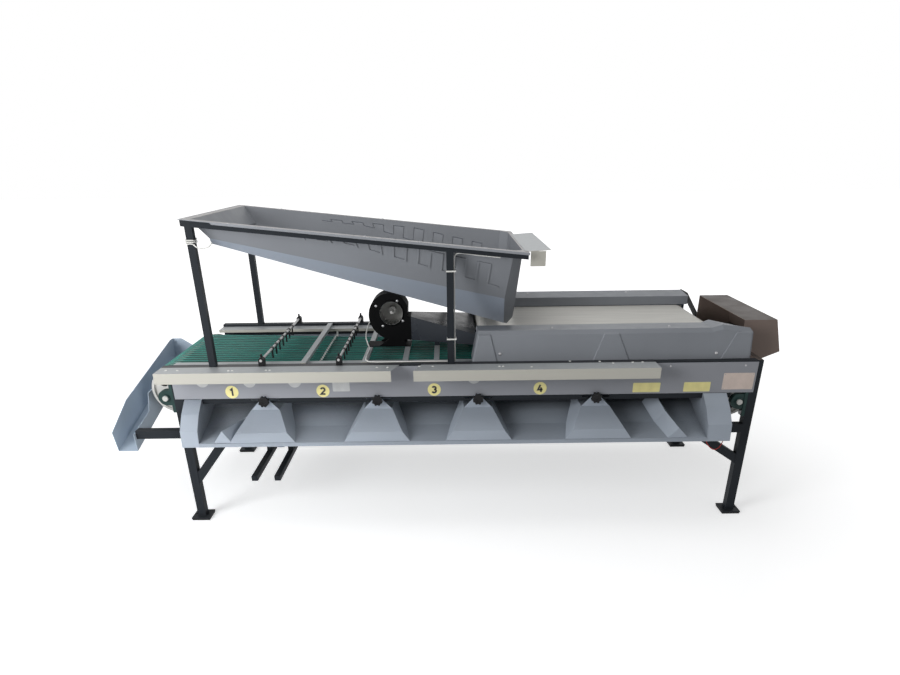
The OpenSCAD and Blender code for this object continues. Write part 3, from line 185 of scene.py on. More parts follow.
def masked(tree, mask, low, high):
    # one colour where the mask is 0 and another where it is 1; a mix node's colours are its
    # inputs 6 and 7 and its output 2
    mix = addNode(tree, "ShaderNodeMix", data_type="RGBA")
    tree.links.new(mask, mix.inputs["Factor"])
    for index, colour in ((6, low), (7, high)):
        if isinstance(colour, tuple):
            mix.inputs[index].default_value = (*colour, 1.0)
        else:
            tree.links.new(colour, mix.inputs[index])
    return mix.outputs[2]


def edgeWearAndHighlight(tree, tone, worn, amount):
    # brightens convex edges: partly the coat rubbed thin, partly a painted highlight along them
    geo = addNode(tree, "ShaderNodeNewGeometry")
    return masked(tree, spread(tree, geo.outputs["Pointiness"], 0.0, amount, 0.53, 0.62), tone, worn)


# Finishes

dustTone = (0.62, 0.6, 0.55)
zincTones = {"coat": (0.44, 0.46, 0.47), "front": (0.44, 0.43, 0.385), "beam": (0.02, 0.022, 0.026)}
fingerBars = {
    "firstX": -0.920,
    "secondX": -0.570,
    "z": 0.025,
    "rod": 0.012,
    "steel": (0.5, 0.5, 0.5),
    "black": (0.008, 0.008, 0.009),
}


def enamel(name, colour, rough, vary, shine, dustUp=0.0, facingLightTones=(), deep=0.0):
    # sprayed enamel: slow tone drift, fine orange peel and a little settled dust. Each facing light tone is a
    # colour painted in between two values of the normal, as painted light, and deep is the reach of painted
    # shade in hollows
    mat, tree, shader = newMaterial(name)
    vector = objectCoords(tree)
    tone = toneDrift(tree, noise(tree, vector, 3.2, 5.0), colour, 1 - vary, 1 + vary)
    if dustUp > 0:
        dust = addNode(tree, "ShaderNodeMath", operation="MULTIPLY")
        tree.links.new(spread(tree, normalAxis(tree, "Z"), 0.0, dustUp, 0.4, 1.0), dust.inputs[0])
        tree.links.new(noise(tree, vector, 14.0, 6.0), dust.inputs[1])
        tone = masked(tree, dust.outputs["Value"], tone, dustTone)
    # painted light: each tone comes in by the way the face is turned, standing in for light and reflection
    # falling on faces so turned
    for axis, none, full, litTone in facingLightTones:
        tone = masked(tree, spread(tree, normalAxis(tree, axis), 0.0, 1.0, none, full), tone, litTone)
    # paler convex edges: wear with a painted highlight
    tone = edgeWearAndHighlight(tree, tone, shade(colour, 1.6), 0.35)
    # painted shade: where ambient occlusion finds close surfaces, the colour is darkened towards a third of
    # itself
    if deep > 0:
        hollow = addNode(tree, "ShaderNodeAmbientOcclusion")
        hollow.inputs["Distance"].default_value = deep
        hollowShade = spread(tree, hollow.outputs["AO"], 1.0, 0.0, 0.25, 0.75)
        tone = masked(tree, hollowShade, tone, shade(colour, 0.3))
    tree.links.new(tone, shader.inputs["Base Color"])
    gloss = spread(tree, noise(tree, vector, 9.0, 4.0), rough - 0.06, rough + 0.1)
    tree.links.new(gloss, shader.inputs["Roughness"])
    bump(tree, shader, noise(tree, vector, 260.0, 2.0), 0.12, 0.0006)
    shader.inputs["Specular IOR Level"].default_value = shine
    return mat


def galvanised(name, bareFrom=None):
    # dull zinc coat with a faint spangle, warmer on the faces in front; behind bareFrom the beam's paint
    mat, tree, shader = newMaterial(name)
    vector = objectCoords(tree)
    cells = addNode(tree, "ShaderNodeTexVoronoi", Scale=70.0)
    tree.links.new(vector, cells.inputs["Vector"])
    split = addNode(tree, "ShaderNodeSeparateColor")
    tree.links.new(cells.outputs["Color"], split.inputs["Color"])
    tone = toneDrift(tree, split.outputs["Red"], zincTones["coat"], 0.97, 1.03, 0.0, 1.0)
    front = spread(tree, normalAxis(tree, "Y"), 1.0, 0.0, -0.9, -0.3)
    tone = masked(tree, front, tone, zincTones["front"])
    if bareFrom is not None:
        place = addNode(tree, "ShaderNodeSeparateXYZ")
        tree.links.new(vector, place.inputs["Vector"])
        behind = spread(tree, place.outputs["Y"], 0.0, 1.0, bareFrom - 0.0005, bareFrom + 0.0005)
        tone = masked(tree, behind, tone, zincTones["beam"])
    tree.links.new(tone, shader.inputs["Base Color"])
    shader.inputs["Metallic"].default_value = 0.25
    streak = noise(tree, objectCoords(tree, (6.0, 160.0, 160.0)), 2.0, 3.0)
    tree.links.new(spread(tree, streak, 0.42, 0.55), shader.inputs["Roughness"])
    bump(tree, shader, streak, 0.05, 0.0003)
    return mat


def turnedSteel(name, colour, rough, metal=1.0):
    # lathe-turned steel with fine rings along Y
    mat, tree, shader = newMaterial(name)
    vector = objectCoords(tree, (1.0, 220.0, 1.0))
    rings = noise(tree, vector, 2.0, 3.0)
    tree.links.new(toneDrift(tree, rings, colour, 0.85, 1.1), shader.inputs["Base Color"])
    shader.inputs["Metallic"].default_value = metal
    tree.links.new(spread(tree, rings, rough - 0.06, rough + 0.12), shader.inputs["Roughness"])
    bump(tree, shader, rings, 0.1, 0.0003)
    return mat


def moulding(name, colour, rough=0.45, grain=420.0, strength=0.16, shine=0.35):
    # moulded plastic: fine grain over a slow tone drift
    mat, tree, shader = newMaterial(name)
    vector = objectCoords(tree)
    tone = toneDrift(tree, noise(tree, vector, 2.4, 4.0), colour, 0.93, 1.06)
    tree.links.new(tone, shader.inputs["Base Color"])
    gloss = spread(tree, noise(tree, vector, 18.0, 4.0), rough - 0.05, rough + 0.08)
    tree.links.new(gloss, shader.inputs["Roughness"])
    bump(tree, shader, noise(tree, vector, grain, 3.0), strength, 0.0005)
    shader.inputs["Specular IOR Level"].default_value = shine
    return mat


def conveyorBelt(name, colour):
    # coated belt with a faint weave and grey scuffs along its run
    mat, tree, shader = newMaterial(name)
    vector = objectCoords(tree)
    weave = addNode(tree, "ShaderNodeTexWave", wave_type="BANDS", bands_direction="DIAGONAL",
                    Scale=260.0, Distortion=0.4)
    tree.links.new(vector, weave.inputs["Vector"])
    scuff = noise(tree, objectCoords(tree, (1.2, 14.0, 4.0)), 3.0, 6.0)
    tree.links.new(toneDrift(tree, scuff, colour, 0.88, 1.0, 0.35, 0.6), shader.inputs["Base Color"])
    shader.inputs["Roughness"].default_value = 0.55
    bump(tree, shader, weave.outputs["Fac"], 0.12, 0.0004)
    return mat


def ropeSkin(name, colour):
    # smooth green rope with a random worn tone, and painted shade darkening its flanks below its lit top
    mat, tree, shader = newMaterial(name)
    worn = noise(tree, objectCoords(tree, (2.0, 60.0, 60.0)), 3.0, 5.0)
    tone = toneDrift(tree, worn, colour, 0.75, 1.4, 0.3, 0.75)
    # painted shade: faces turned away from up get a dark copy of the colour
    litTopMask = spread(tree, normalAxis(tree, "Z"), 0.0, 1.0, 0.1, 0.75)
    tree.links.new(masked(tree, litTopMask, shade(colour, 0.16), tone), shader.inputs["Base Color"])
    tree.links.new(spread(tree, worn, 0.34, 0.52), shader.inputs["Roughness"])
    bump(tree, shader, noise(tree, objectCoords(tree), 500.0, 3.0), 0.1, 0.0003)
    return mat


def castIron(name, colour):
    # painted casting with its sand grain showing through
    mat, tree, shader = newMaterial(name)
    vector = objectCoords(tree)
    tone = toneDrift(tree, noise(tree, vector, 22.0, 5.0), colour, 0.75, 1.2)
    tree.links.new(tone, shader.inputs["Base Color"])
    shader.inputs["Roughness"].default_value = 0.55
    shader.inputs["Specular IOR Level"].default_value = 0.25
    bump(tree, shader, noise(tree, vector, 320.0, 4.0), 0.35, 0.001)
    return mat


def rodAndFingers(name, barX):
    # bright rod along Y, with black pieces all round it
    s = fingerBars
    mat, tree, shader = newMaterial(name)
    offset = addNode(tree, "ShaderNodeVectorMath", operation="SUBTRACT")
    tree.links.new(objectCoords(tree), offset.inputs[0])
    offset.inputs[1].default_value = (machineX + barX, 0.0, machineZ + s["z"])
    across = addNode(tree, "ShaderNodeVectorMath", operation="MULTIPLY")
    tree.links.new(offset.outputs["Vector"], across.inputs[0])
    across.inputs[1].default_value = (1.0, 0.0, 1.0)
    reach = addNode(tree, "ShaderNodeVectorMath", operation="LENGTH")
    tree.links.new(across.outputs["Vector"], reach.inputs[0])
    out = spread(tree, reach.outputs["Value"], 0.0, 1.0, s["rod"] / 2 + 0.0001, s["rod"] / 2 + 0.0003)
    tree.links.new(masked(tree, out, s["steel"], s["black"]), shader.inputs["Base Color"])
    tree.links.new(spread(tree, out, 0.7, 0.0, 0.0, 1.0), shader.inputs["Metallic"])
    shader.inputs["Roughness"].default_value = 0.4
    shader.inputs["Specular IOR Level"].default_value = 0.2
    return mat


def printedPlate(name, colour, rough=0.4):
    # thin printed label or plate, a little faded
    mat, tree, shader = newMaterial(name)
    vector = objectCoords(tree)
    tone = toneDrift(tree, noise(tree, vector, 30.0, 3.0), colour, 0.93, 1.05)
    tree.links.new(tone, shader.inputs["Base Color"])
    shader.inputs["Roughness"].default_value = rough
    bump(tree, shader, noise(tree, vector, 600.0, 2.0), 0.05, 0.0002)
    return mat


# Looks of the CAD nodes, by material slot

looks = {
    "frame_paint": enamel("framePaint", (0.017, 0.020, 0.024), 0.5, 0.1, dustUp=0.03, shine=0.1),
    "panel_paint": enamel("panelPaint", (0.32, 0.36, 0.415), 0.42, 0.05, shine=0.25),
    "zinc_sheet": galvanised("zincSheet"),
    "drum_steel": turnedSteel("drumSteel", (0.50, 0.50, 0.48), 0.5, 0.15),
    "bare_steel": turnedSteel("bareSteel", (0.40, 0.40, 0.41), 0.36),
    "bearing_paint": castIron("bearingPaint", (0.012, 0.036, 0.033)),
    "chain_steel": turnedSteel("chainSteel", (0.2, 0.2, 0.2), 0.42),
    "motor_paint": castIron("motorPaint", (0.04, 0.08, 0.14)),
    "hopper_paint": enamel("hopperPaint", (0.255, 0.272, 0.30), 0.4, 0.05, shine=0.25),
    "cover_shell": moulding("coverShell", (0.262, 0.278, 0.306), shine=0.25),
    # the hood's steeper faces get a paler brown: a painted reflection on the dark paint
    "hood_paint": enamel("hoodPaintReflection", (0.074, 0.062, 0.055), 0.45, 0.08, shine=0.2,
                         facingLightTones=[("Z", 0.6, 0.4, (0.25, 0.192, 0.166))]),
    "black_paint": enamel("blackPaint", (0.004, 0.0042, 0.0045), 0.55, 0.1, shine=0.05),
    "black_plastic": moulding("blackPlastic", (0.008, 0.008, 0.009), 0.42, shine=0.2),
    "white_plastic": moulding("whitePlastic", (0.8, 0.8, 0.77), 0.4),
    "rope_green": ropeSkin("ropeGreenShadedFlanks", (0.014, 0.19, 0.155)),
    "belt_white": conveyorBelt("beltWhite", (0.66, 0.65, 0.61)),
    "foot_rubber": moulding("footRubber", (0.02, 0.02, 0.02), 0.7, 300.0, 0.3),
    "cable_white": moulding("cableWhite", (0.78, 0.78, 0.75), 0.42, 600.0, 0.05),
    "wire_red": moulding("wireRed", (0.42, 0.02, 0.015), 0.4, 600.0, 0.05),
}
for node in nodes.values():
    for slot in node.material_slots:
        slot.material = looks[slot.name if slot.name in looks else slot.material.name]

# Nodes that differ a little from the rest of their slot: the beam's paint shows behind the strips'
# front, the fascia is more neutral and darker with painted shade, the chute bluer and paler with painted
# light, the finger bars have bright rods, the tray has painted shade deep inside, the hopper has painted
# light, bluer below as if lit by the floor, and a painted highlight on top of its rim, the blower's wheel is
# bright and its duct glossy
stripFront = -0.008
nodeLooks = {
    "cover_strips": galvanised("stripSheet", bareFrom=machineY + stripFront),
    # the fascia is a more neutral paint, darkened as painted shade under the strips' lip
    "near_fascia": enamel("fasciaShadedPaint", (0.25, 0.258, 0.282), 0.42, 0.04, shine=0.2),
    "comb_bar_1": rodAndFingers("combBar_1", fingerBars["firstX"]),
    "comb_bar_2": rodAndFingers("combBar_2", fingerBars["secondX"]),
    # the chute's paint is made bluer and paler as painted light on its inner faces
    "end_chute": enamel("chuteLitPaint", (0.40, 0.475, 0.56), 0.42, 0.05, shine=0.25),
    # deep=0.3 darkens the tray deep inside: painted shade
    "outlet_tray": enamel("trayShadedPaint", (0.32, 0.36, 0.415), 0.42, 0.05, shine=0.25, deep=0.3),
    # painted light: the hopper's faces turned down and out are bluer as if lit by the floor, and the tops of
    # its rim have a painted highlight
    "hopper": enamel("hopperSheetLit", (0.255, 0.268, 0.292), 0.4, 0.05, shine=0.25,
                     facingLightTones=[("Z", -0.49, -0.53, (0.33, 0.372, 0.44)),
                            ("Z", 0.975, 0.99, (0.40, 0.39, 0.39))]),
    "fan_wheel": moulding("wheelZinc", (0.55, 0.55, 0.53), 0.4, shine=0.4),
    "fan_duct": enamel("ductPaint", (0.018, 0.022, 0.029), 0.28, 0.05, shine=0.22),
}
for node, mat in nodeLooks.items():
    for slot in nodes[node].material_slots:
        slot.material = mat
print("looks on", len(looks), "slots")


# Piece helpers

def finishPiece(name, mesh, mat):
    piece = bpy.data.objects.new(name, mesh)
    scene.collection.objects.link(piece)
    mesh.materials.append(mat)
    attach(piece, "frame")
    return piece


def meshFrom(bm, name):
    mesh = bpy.data.meshes.new(name)
    bm.to_mesh(mesh)
    bm.free()
    return mesh


def skinRings(bm, rings):
    # quads between each ring and the next
    for low, high in zip(rings, rings[1:]):
        for k in range(len(low)):
            j = (k + 1) % len(low)
            bm.faces.new((low[k], low[j], high[j], high[k]))


def smoothMesh(mesh, angle=0.7):
    for face in mesh.polygons:
        face.use_smooth = True
    mesh.set_sharp_from_angle(angle=angle)


def plateMesh(name, outline, depth, edge):
    # flat plate from an outline in X and Z, its front edges eased, the back on Y = 0
    bm = bmesh.new()
    back = [bm.verts.new((x, 0.0, z)) for x, z in outline]
    face = bm.faces.new(back)
    grown = bmesh.ops.extrude_face_region(bm, geom=[face])
    front = [v for v in grown["geom"] if isinstance(v, bmesh.types.BMVert)]
    bmesh.ops.translate(bm, verts=front, vec=(0.0, -depth, 0.0))
    bmesh.ops.recalc_face_normals(bm, faces=bm.faces)
    rim = [e for e in bm.edges if all(v in front for v in e.verts)]
    bmesh.ops.bevel(bm, geom=rim, offset=edge, segments=2, affect="EDGES", profile=0.5)
    return meshFrom(bm, name)


def roundedOutline(x0, z0, x1, z1, radius, steps=6):
    points = []
    corners = [(x1 - radius, z1 - radius, 0), (x0 + radius, z1 - radius, 90),
               (x0 + radius, z0 + radius, 180), (x1 - radius, z0 + radius, 270)]
    for cx, cz, start in corners:
        for k in range(steps + 1):
            a = math.radians(start + 90.0 * k / steps)
            points.append((cx + radius * math.cos(a), cz + radius * math.sin(a)))
    return points


def moveMesh(mesh, place):
    mesh.transform(Matrix.Translation(machinePoint(*place)))


# Labels on the near fascia

labels = {
    "faceY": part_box("near_fascia")[0].y - machineY,
    "thick": 0.0008,
    "edge": 0.0003,
    "corner": 0.004,
    "roundSize": 0.030,
    "roundSides": 48,
    "roundPlaces": [(-1.071, -0.118), (-0.653, -0.118), (-0.142, -0.118), (0.344, -0.118)],
    "barePlaces": [(-1.200, -0.064), (-0.985, -0.067), (-0.779, -0.070), (0.040, -0.062)],
    "yellowPlates": [(0.770, -0.143, 0.895, -0.098), (1.003, -0.143, 1.125, -0.098)],
    "whitePlate": (-0.607, -0.121, -0.529, -0.077),
    "dataPlate": (1.179, -0.135, 1.320, -0.057),
    "numberHeight": 0.036,
    "numberStroke": 0.0085,
    "numberThick": 0.0002,
    "mitre": 0.45,
}


def arcLine(middle, reach, first, last, steps=14):
    # points of an arc, in parts of a figure's height, by angles in degrees
    angles = [math.radians(first + (last - first) * k / steps) for k in range(steps + 1)]
    return [(middle[0] + reach[0] * math.cos(a), middle[1] + reach[1] * math.sin(a)) for a in angles]


# middle lines of the figures' strokes, in parts of their height
figureLines = [
    [[(-0.17, 0.22), (0.06, 0.42), (0.06, -0.5)]],
    [[*arcLine((0.0, 0.18), (0.24, 0.22), 165, -35), (-0.25, -0.4), (0.29, -0.4)]],
    [arcLine((-0.02, 0.19), (0.22, 0.20), 160, -90), arcLine((-0.02, -0.17), (0.25, 0.22), 90, -160)],
    [[(0.02, 0.46), (-0.27, -0.18), (0.32, -0.18)], [(0.12, 0.12), (0.12, -0.5)]],
]
labelYellow = printedPlate("labelYellow", (0.84, 0.76, 0.33))
labelWhite = printedPlate("labelWhite", (0.52, 0.53, 0.53))
labelMetal = printedPlate("labelMetal", (0.66, 0.55, 0.49), 0.35)
labelInk = printedPlate("labelInk", (0.02, 0.02, 0.02))


def figureMesh(name, lines):
    # flat strokes of even width along the lines, mitred at their corners
    height, stroke, thick = labels["numberHeight"], labels["numberStroke"], labels["numberThick"]
    bm = bmesh.new()
    for line in lines:
        points = [Vector((x * height, 0.0, z * height)) for x, z in line]
        ways = [(b - a).normalized() for a, b in zip(points, points[1:])]
        sections = []
        for i, point in enumerate(points):
            before, after = ways[max(i - 1, 0)], ways[min(i, len(ways) - 1)]
            along = (before + after).normalized()
            across = Vector((-along.z, 0.0, along.x)) * (stroke / 2 / max(along.dot(before), labels["mitre"]))
            deep = Vector((0.0, -thick, 0.0))
            corners = (point + across, point - across, point - across + deep, point + across + deep)
            sections.append([bm.verts.new(corner) for corner in corners])
        skinRings(bm, sections)
        bm.faces.new(sections[0])
        bm.faces.new(sections[-1])
    bmesh.ops.recalc_face_normals(bm, faces=bm.faces)
    return meshFrom(bm, name)


def makeLabel(name, outline, x, z, mat):
    mesh = plateMesh(name, outline, labels["thick"], labels["edge"])
    moveMesh(mesh, (x, labels["faceY"], z))
    finishPiece(name, mesh, mat)


def makeLabels():
    s = labels
    turns = [math.tau * k / s["roundSides"] for k in range(s["roundSides"])]
    ring = [(s["roundSize"] * math.cos(a), s["roundSize"] * math.sin(a)) for a in turns]
    for index, (x, z) in enumerate(s["barePlaces"], 1):
        makeLabel(f"bareLabel_{index}", ring, x, z, labelWhite)
    for index, (x, z) in enumerate(s["roundPlaces"], 1):
        makeLabel(f"outletNumber_{index}", ring, x, z, labelYellow)
        flat = figureMesh(f"outletFigure_{index}", figureLines[index - 1])
        moveMesh(flat, (x, s["faceY"] - s["thick"], z))
        finishPiece(f"outletFigure_{index}", flat, labelInk)
    plates = [(f"yellowPlate_{k}", p, labelYellow) for k, p in enumerate(s["yellowPlates"], 1)]
    plates += [("whitePlate", s["whitePlate"], labelWhite), ("dataPlate", s["dataPlate"], labelMetal)]
    for name, corners, mat in plates:
        makeLabel(name, roundedOutline(*corners, s["corner"]), 0.0, 0.0, mat)


makeLabels()
print("labels made")


# Cords, as smooth tubes on the routes of their solids. Routes and the winding's tail are in
# millimetres, and sizes in metres

cords = {
    "blowerCable": {
        "node": "fan_cable", "slot": "cable_white", "size": 0.006, "sides": 12,
        "stiffness": "medium", "farEnd": "object", "lay": "loose",
        "route": [(150, 13, 455), (60, 13, 465), (-30, 13, 474), (-42, 13, 466), (-45.5, 14, 440),
                  (-45.5, 14, 300), (-45.5, 14, 160), (-45.5, 14, 40), (-45.5, 21, 15), (-45.5, 33, 7),
                  (-55, 38, 5), (-80, 37, 4), (-120, 37, 4), (-280, 37, 4), (-400, 37, 4), (-438, 40, 5),
                  (-452, 56, 7), (-456, 90, 7), (-456, 200, 7), (-458, 260, 8), (-468, 290, 22),
                  (-480, 330, 44), (-478, 400, 76), (-458, 446, 120), (-436, 458, 156), (-416, 460, 168)],
    },
    "earthWire": {
        "node": "earth_wire", "slot": "wire_red", "size": 0.004, "sides": 10,
        "stiffness": "limp", "farEnd": "object", "lay": "hanging",
        "route": [(1110, -60, -300), (1112, -70, -330), (1120, -78, -362), (1140, -82, -390),
                  (1165, -80, -402), (1190, -70, -392), (1210, -50, -366), (1222, -28, -344),
                  (1226, -12, -330), (1226, -0.2, -330)],
    },
}
windings = {"node": "post_cord", "slot": "cable_white", "size": 0.005, "sides": 10,
            "stiffness": "limp", "farEnd": "bare", "lay": "coiled", "turns": 3, "pitch": 0.007,
            "half": 0.0199, "corner": 0.010, "steps": 6, "parts": 2,
            "middle": (-1.140, 0.015), "top": 0.545,
            "tail": [(19, -24, -26), (34, -30, -34), (58, -31, -36), (80, -26, -28), (90, -18, -14)]}


def windingRoute():
    # turns round a square post with rounded corners, then the loose tail
    s = windings
    route = []
    for k in range(s["turns"] * 4 * s["steps"] - s["steps"] + 1):
        corner, step = divmod(k, s["steps"])
        angle = math.radians(90.0 * corner + 90.0 * step / (s["steps"] - 1))
        mid = math.radians(90.0 * corner + 45.0)
        reach = (s["half"] - s["corner"]) * math.sqrt(2.0)
        x = s["middle"][0] + reach * math.cos(mid) + s["corner"] * math.cos(angle)
        y = s["middle"][1] + reach * math.sin(mid) + s["corner"] * math.sin(angle)
        route.append((x, y, s["top"] - s["pitch"] * k / (4 * s["steps"])))
    for x, y, z in s["tail"]:
        route.append((s["middle"][0] + x / 1000.0, s["middle"][1] + y / 1000.0, s["top"] + z / 1000.0))
    return route


def smoothRoute(points, parts=6):
    # centripetal curve through the route's points
    pts = [Vector(p) for p in points]
    pts = [2 * pts[0] - pts[1]] + pts + [2 * pts[-1] - pts[-2]]
    line = []
    for i in range(1, len(pts) - 2):
        a, b, c, d = pts[i - 1:i + 3]
        knots = [0.0]
        for u, v in ((a, b), (b, c), (c, d)):
            knots.append(knots[-1] + max((v - u).length, 1e-9) ** 0.5)
        for k in range(parts):
            t = knots[1] + (knots[2] - knots[1]) * k / parts
            e = a.lerp(b, (t - knots[0]) / (knots[1] - knots[0]))
            f = b.lerp(c, (t - knots[1]) / (knots[2] - knots[1]))
            g = c.lerp(d, (t - knots[2]) / (knots[3] - knots[2]))
            h = e.lerp(f, (t - knots[0]) / (knots[2] - knots[0]))
            m = f.lerp(g, (t - knots[1]) / (knots[3] - knots[1]))
            line.append(h.lerp(m, (t - knots[1]) / (knots[2] - knots[1])))
    return line + [pts[-2]]


def tubeMesh(name, line, size, sides):
    bm = bmesh.new()
    turns = [math.tau * k / sides for k in range(sides)]
    side = None
    rings = []
    for i, p in enumerate(line):
        ahead = (line[min(i + 1, len(line) - 1)] - line[max(i - 1, 0)]).normalized()
        if side is None:
            side = ahead.orthogonal().normalized()
        side = (side - ahead * side.dot(ahead)).normalized()
        other = ahead.cross(side)
        rings.append([bm.verts.new(p + (side * math.cos(a) + other * math.sin(a)) * size / 2)
                      for a in turns])
    skinRings(bm, rings)
    bm.faces.new(list(reversed(rings[0])))
    bm.faces.new(rings[-1])
    mesh = meshFrom(bm, name)
    smoothMesh(mesh)
    return mesh


def makeCord(name, s, line):
    mesh = tubeMesh(name, line, s["size"], s["sides"])
    piece = finishPiece(name, mesh, looks[s["slot"]])
    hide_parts(s["node"])


for cordName, cordFacts in cords.items():
    cordRoute = [machinePoint(*(c / 1000.0 for c in p)) for p in cordFacts["route"]]
    makeCord(cordName, cordFacts, smoothRoute(cordRoute))
coiledRoute = [machinePoint(*p) for p in windingRoute()]
makeCord("postWinding", windings, smoothRoute(coiledRoute, windings["parts"]))
print("cords made")


# Fasteners, one group of instances per kind

fasteners = {
    # the strip screws are given pale plastic: painted highlights standing in for the glints on their steel
    # heads
    "stripScrews": {"kind": "panScrew", "radius": 0.0055, "height": 0.0026, "mat": "white_plastic"},
    "coverScrews": {"kind": "panScrew", "radius": 0.0075, "height": 0.0032, "mat": "bare_steel"},
    "plateRivets": {"kind": "panScrew", "radius": 0.0022, "height": 0.0011, "mat": "bare_steel"},
    "fasciaBolts": {"kind": "panScrew", "radius": 0.0045, "height": 0.0022, "mat": "bare_steel"},
    "rimScrews": {"kind": "panScrew", "radius": 0.0060, "height": 0.0030, "mat": "bare_steel"},
    "fanScrews": {"kind": "panScrew", "radius": 0.0060, "height": 0.0030, "mat": "bare_steel"},
    "bearingBolts": {"kind": "hexBolt", "radius": 0.0100, "height": 0.0070, "mat": "bare_steel"},
}

# the heads' profiles from their seat up, in parts of their radius and height
headProfiles = {
    "panScrew": [(1.0, 0.0), (1.0, 0.35), (0.9, 0.7), (0.65, 0.92), (0.3, 1.0), (0.28, 0.55)],
    "hexBolt": [(1.35, 0.0), (1.35, 0.2), (1.0, 0.2), (1.0, 0.86), (0.86, 1.0), (0.3, 1.0)],
}
headSides = 24
hexFlats = 0.9
slotWaist = 0.55


def screwMesh(name, s):
    # a domed head with a cross slot, or a chamfered hexagon on its washer, standing on Z = 0
    bm = bmesh.new()
    profile = [(wide * s["radius"], high * s["height"]) for wide, high in headProfiles[s["kind"]]]
    rings = []
    for index, (radius, z) in enumerate(profile):
        ring = []
        for k in range(headSides):
            a = math.tau * k / headSides
            reach = radius
            if s["kind"] == "hexBolt" and index >= 2:
                turn = (a + math.pi / 6) % (math.pi / 3) - math.pi / 6
                reach = min(radius, radius * hexFlats / math.cos(turn))
            if s["kind"] == "panScrew" and index == len(profile) - 1:
                reach = radius * (1.0 if k % 6 == 0 else slotWaist)
            ring.append(bm.verts.new((reach * math.cos(a), reach * math.sin(a), z)))
        rings.append(ring)
    skinRings(bm, rings)
    bm.faces.new(rings[-1])
    bm.faces.new(list(reversed(rings[0])))
    mesh = meshFrom(bm, name)
    smoothMesh(mesh, 0.5)
    return mesh


def instanceTree(name):
    # points with a stored direction, each given the head turned to stand on its surface; a random
    # value node's float range ends at its input 3 and comes out at its output 1
    tree = bpy.data.node_groups.new(name, "GeometryNodeTree")
    tree.interface.new_socket("Geometry", in_out="INPUT", socket_type="NodeSocketGeometry")
    tree.interface.new_socket("Head", in_out="INPUT", socket_type="NodeSocketObject")
    tree.interface.new_socket("Finish", in_out="INPUT", socket_type="NodeSocketMaterial")
    tree.interface.new_socket("Turn spread", in_out="INPUT", socket_type="NodeSocketFloat")
    tree.interface.new_socket("Geometry", in_out="OUTPUT", socket_type="NodeSocketGeometry")
    make = tree.nodes.new
    link = tree.links.new
    source = make("NodeGroupInput")
    target = make("NodeGroupOutput")
    head = make("GeometryNodeObjectInfo")
    facing = make("GeometryNodeInputNamedAttribute")
    facing.data_type = "FLOAT_VECTOR"
    facing.inputs["Name"].default_value = "facing"
    align = make("FunctionNodeAlignRotationToVector")
    align.axis = "Z"
    chance = make("FunctionNodeRandomValue")
    spin = make("FunctionNodeAxisAngleToRotation")
    spin.inputs["Axis"].default_value = (0.0, 0.0, 1.0)
    both = make("FunctionNodeRotateRotation")
    both.rotation_space = "LOCAL"
    place = make("GeometryNodeInstanceOnPoints")
    real = make("GeometryNodeRealizeInstances")
    finish = make("GeometryNodeSetMaterial")
    link(source.outputs["Head"], head.inputs["Object"])
    link(facing.outputs["Attribute"], align.inputs["Vector"])
    link(source.outputs["Turn spread"], chance.inputs[3])
    link(chance.outputs[1], spin.inputs["Angle"])
    link(align.outputs["Rotation"], both.inputs["Rotation"])
    link(spin.outputs["Rotation"], both.inputs["Rotate By"])
    link(source.outputs["Geometry"], place.inputs["Points"])
    link(head.outputs["Geometry"], place.inputs["Instance"])
    link(both.outputs["Rotation"], place.inputs["Rotation"])
    link(place.outputs["Instances"], real.inputs["Geometry"])
    link(real.outputs["Geometry"], finish.inputs["Geometry"])
    link(source.outputs["Finish"], finish.inputs["Material"])
    link(finish.outputs["Geometry"], target.inputs["Geometry"])
    return tree


fastenerTree = instanceTree("fastenerTree")
socketIds = {item.name: item.identifier for item in fastenerTree.interface.items_tree
             if item.in_out == "INPUT"}


def placeFasteners(name, places):
    # places: (point in the machine's lines, direction that the head faces)
    s = fasteners[name]
    mat = looks[s["mat"]]
    head = bpy.data.objects.new(name + "Head", screwMesh(name + "Head", s))
    scene.collection.objects.link(head)
    mesh = bpy.data.meshes.new(name + "Points")
    mesh.from_pydata([machinePoint(*p) for p, _ in places], [], [])
    facing = mesh.attributes.new("facing", "FLOAT_VECTOR", "POINT")
    for item, (_, direction) in zip(facing.data, places):
        item.vector = direction
    holder = bpy.data.objects.new(name + "Holder", mesh)
    scene.collection.objects.link(holder)
    modifier = holder.modifiers.new("fasteners", "NODES")
    modifier.node_group = fastenerTree
    modifier[socketIds["Head"]] = head
    modifier[socketIds["Finish"]] = mat
    modifier[socketIds["Turn spread"]] = math.tau
    bpy.context.view_layer.update()
    evaluated = holder.evaluated_get(bpy.context.evaluated_depsgraph_get())
    made = bpy.data.meshes.new_from_object(evaluated)
    made.name = name
    bpy.data.objects.remove(holder)
    bpy.data.objects.remove(head)
    made.materials.clear()
    piece = finishPiece(name, made, mat)


downward, inward, rightward = (0.0, 0.0, -1.0), (0.0, 1.0, 0.0), (1.0, 0.0, 0.0)
searchReach = 0.3


def onSurface(node, point, direction):
    # the point where a line through the machine's point, along the direction, first meets the node
    data = nodes[node].data
    tree = BVHTree.FromPolygons([v.co for v in data.vertices], [f.vertices for f in data.polygons])
    ahead = Vector(direction).normalized()
    start = machinePoint(*point) - ahead * searchReach
    place, normal, _, _ = tree.ray_cast(start, ahead)
    if normal.dot(ahead) > 0:
        normal = -normal
    place = place - machinePoint(0.0, 0.0, 0.0)
    return tuple(place), tuple(normal)


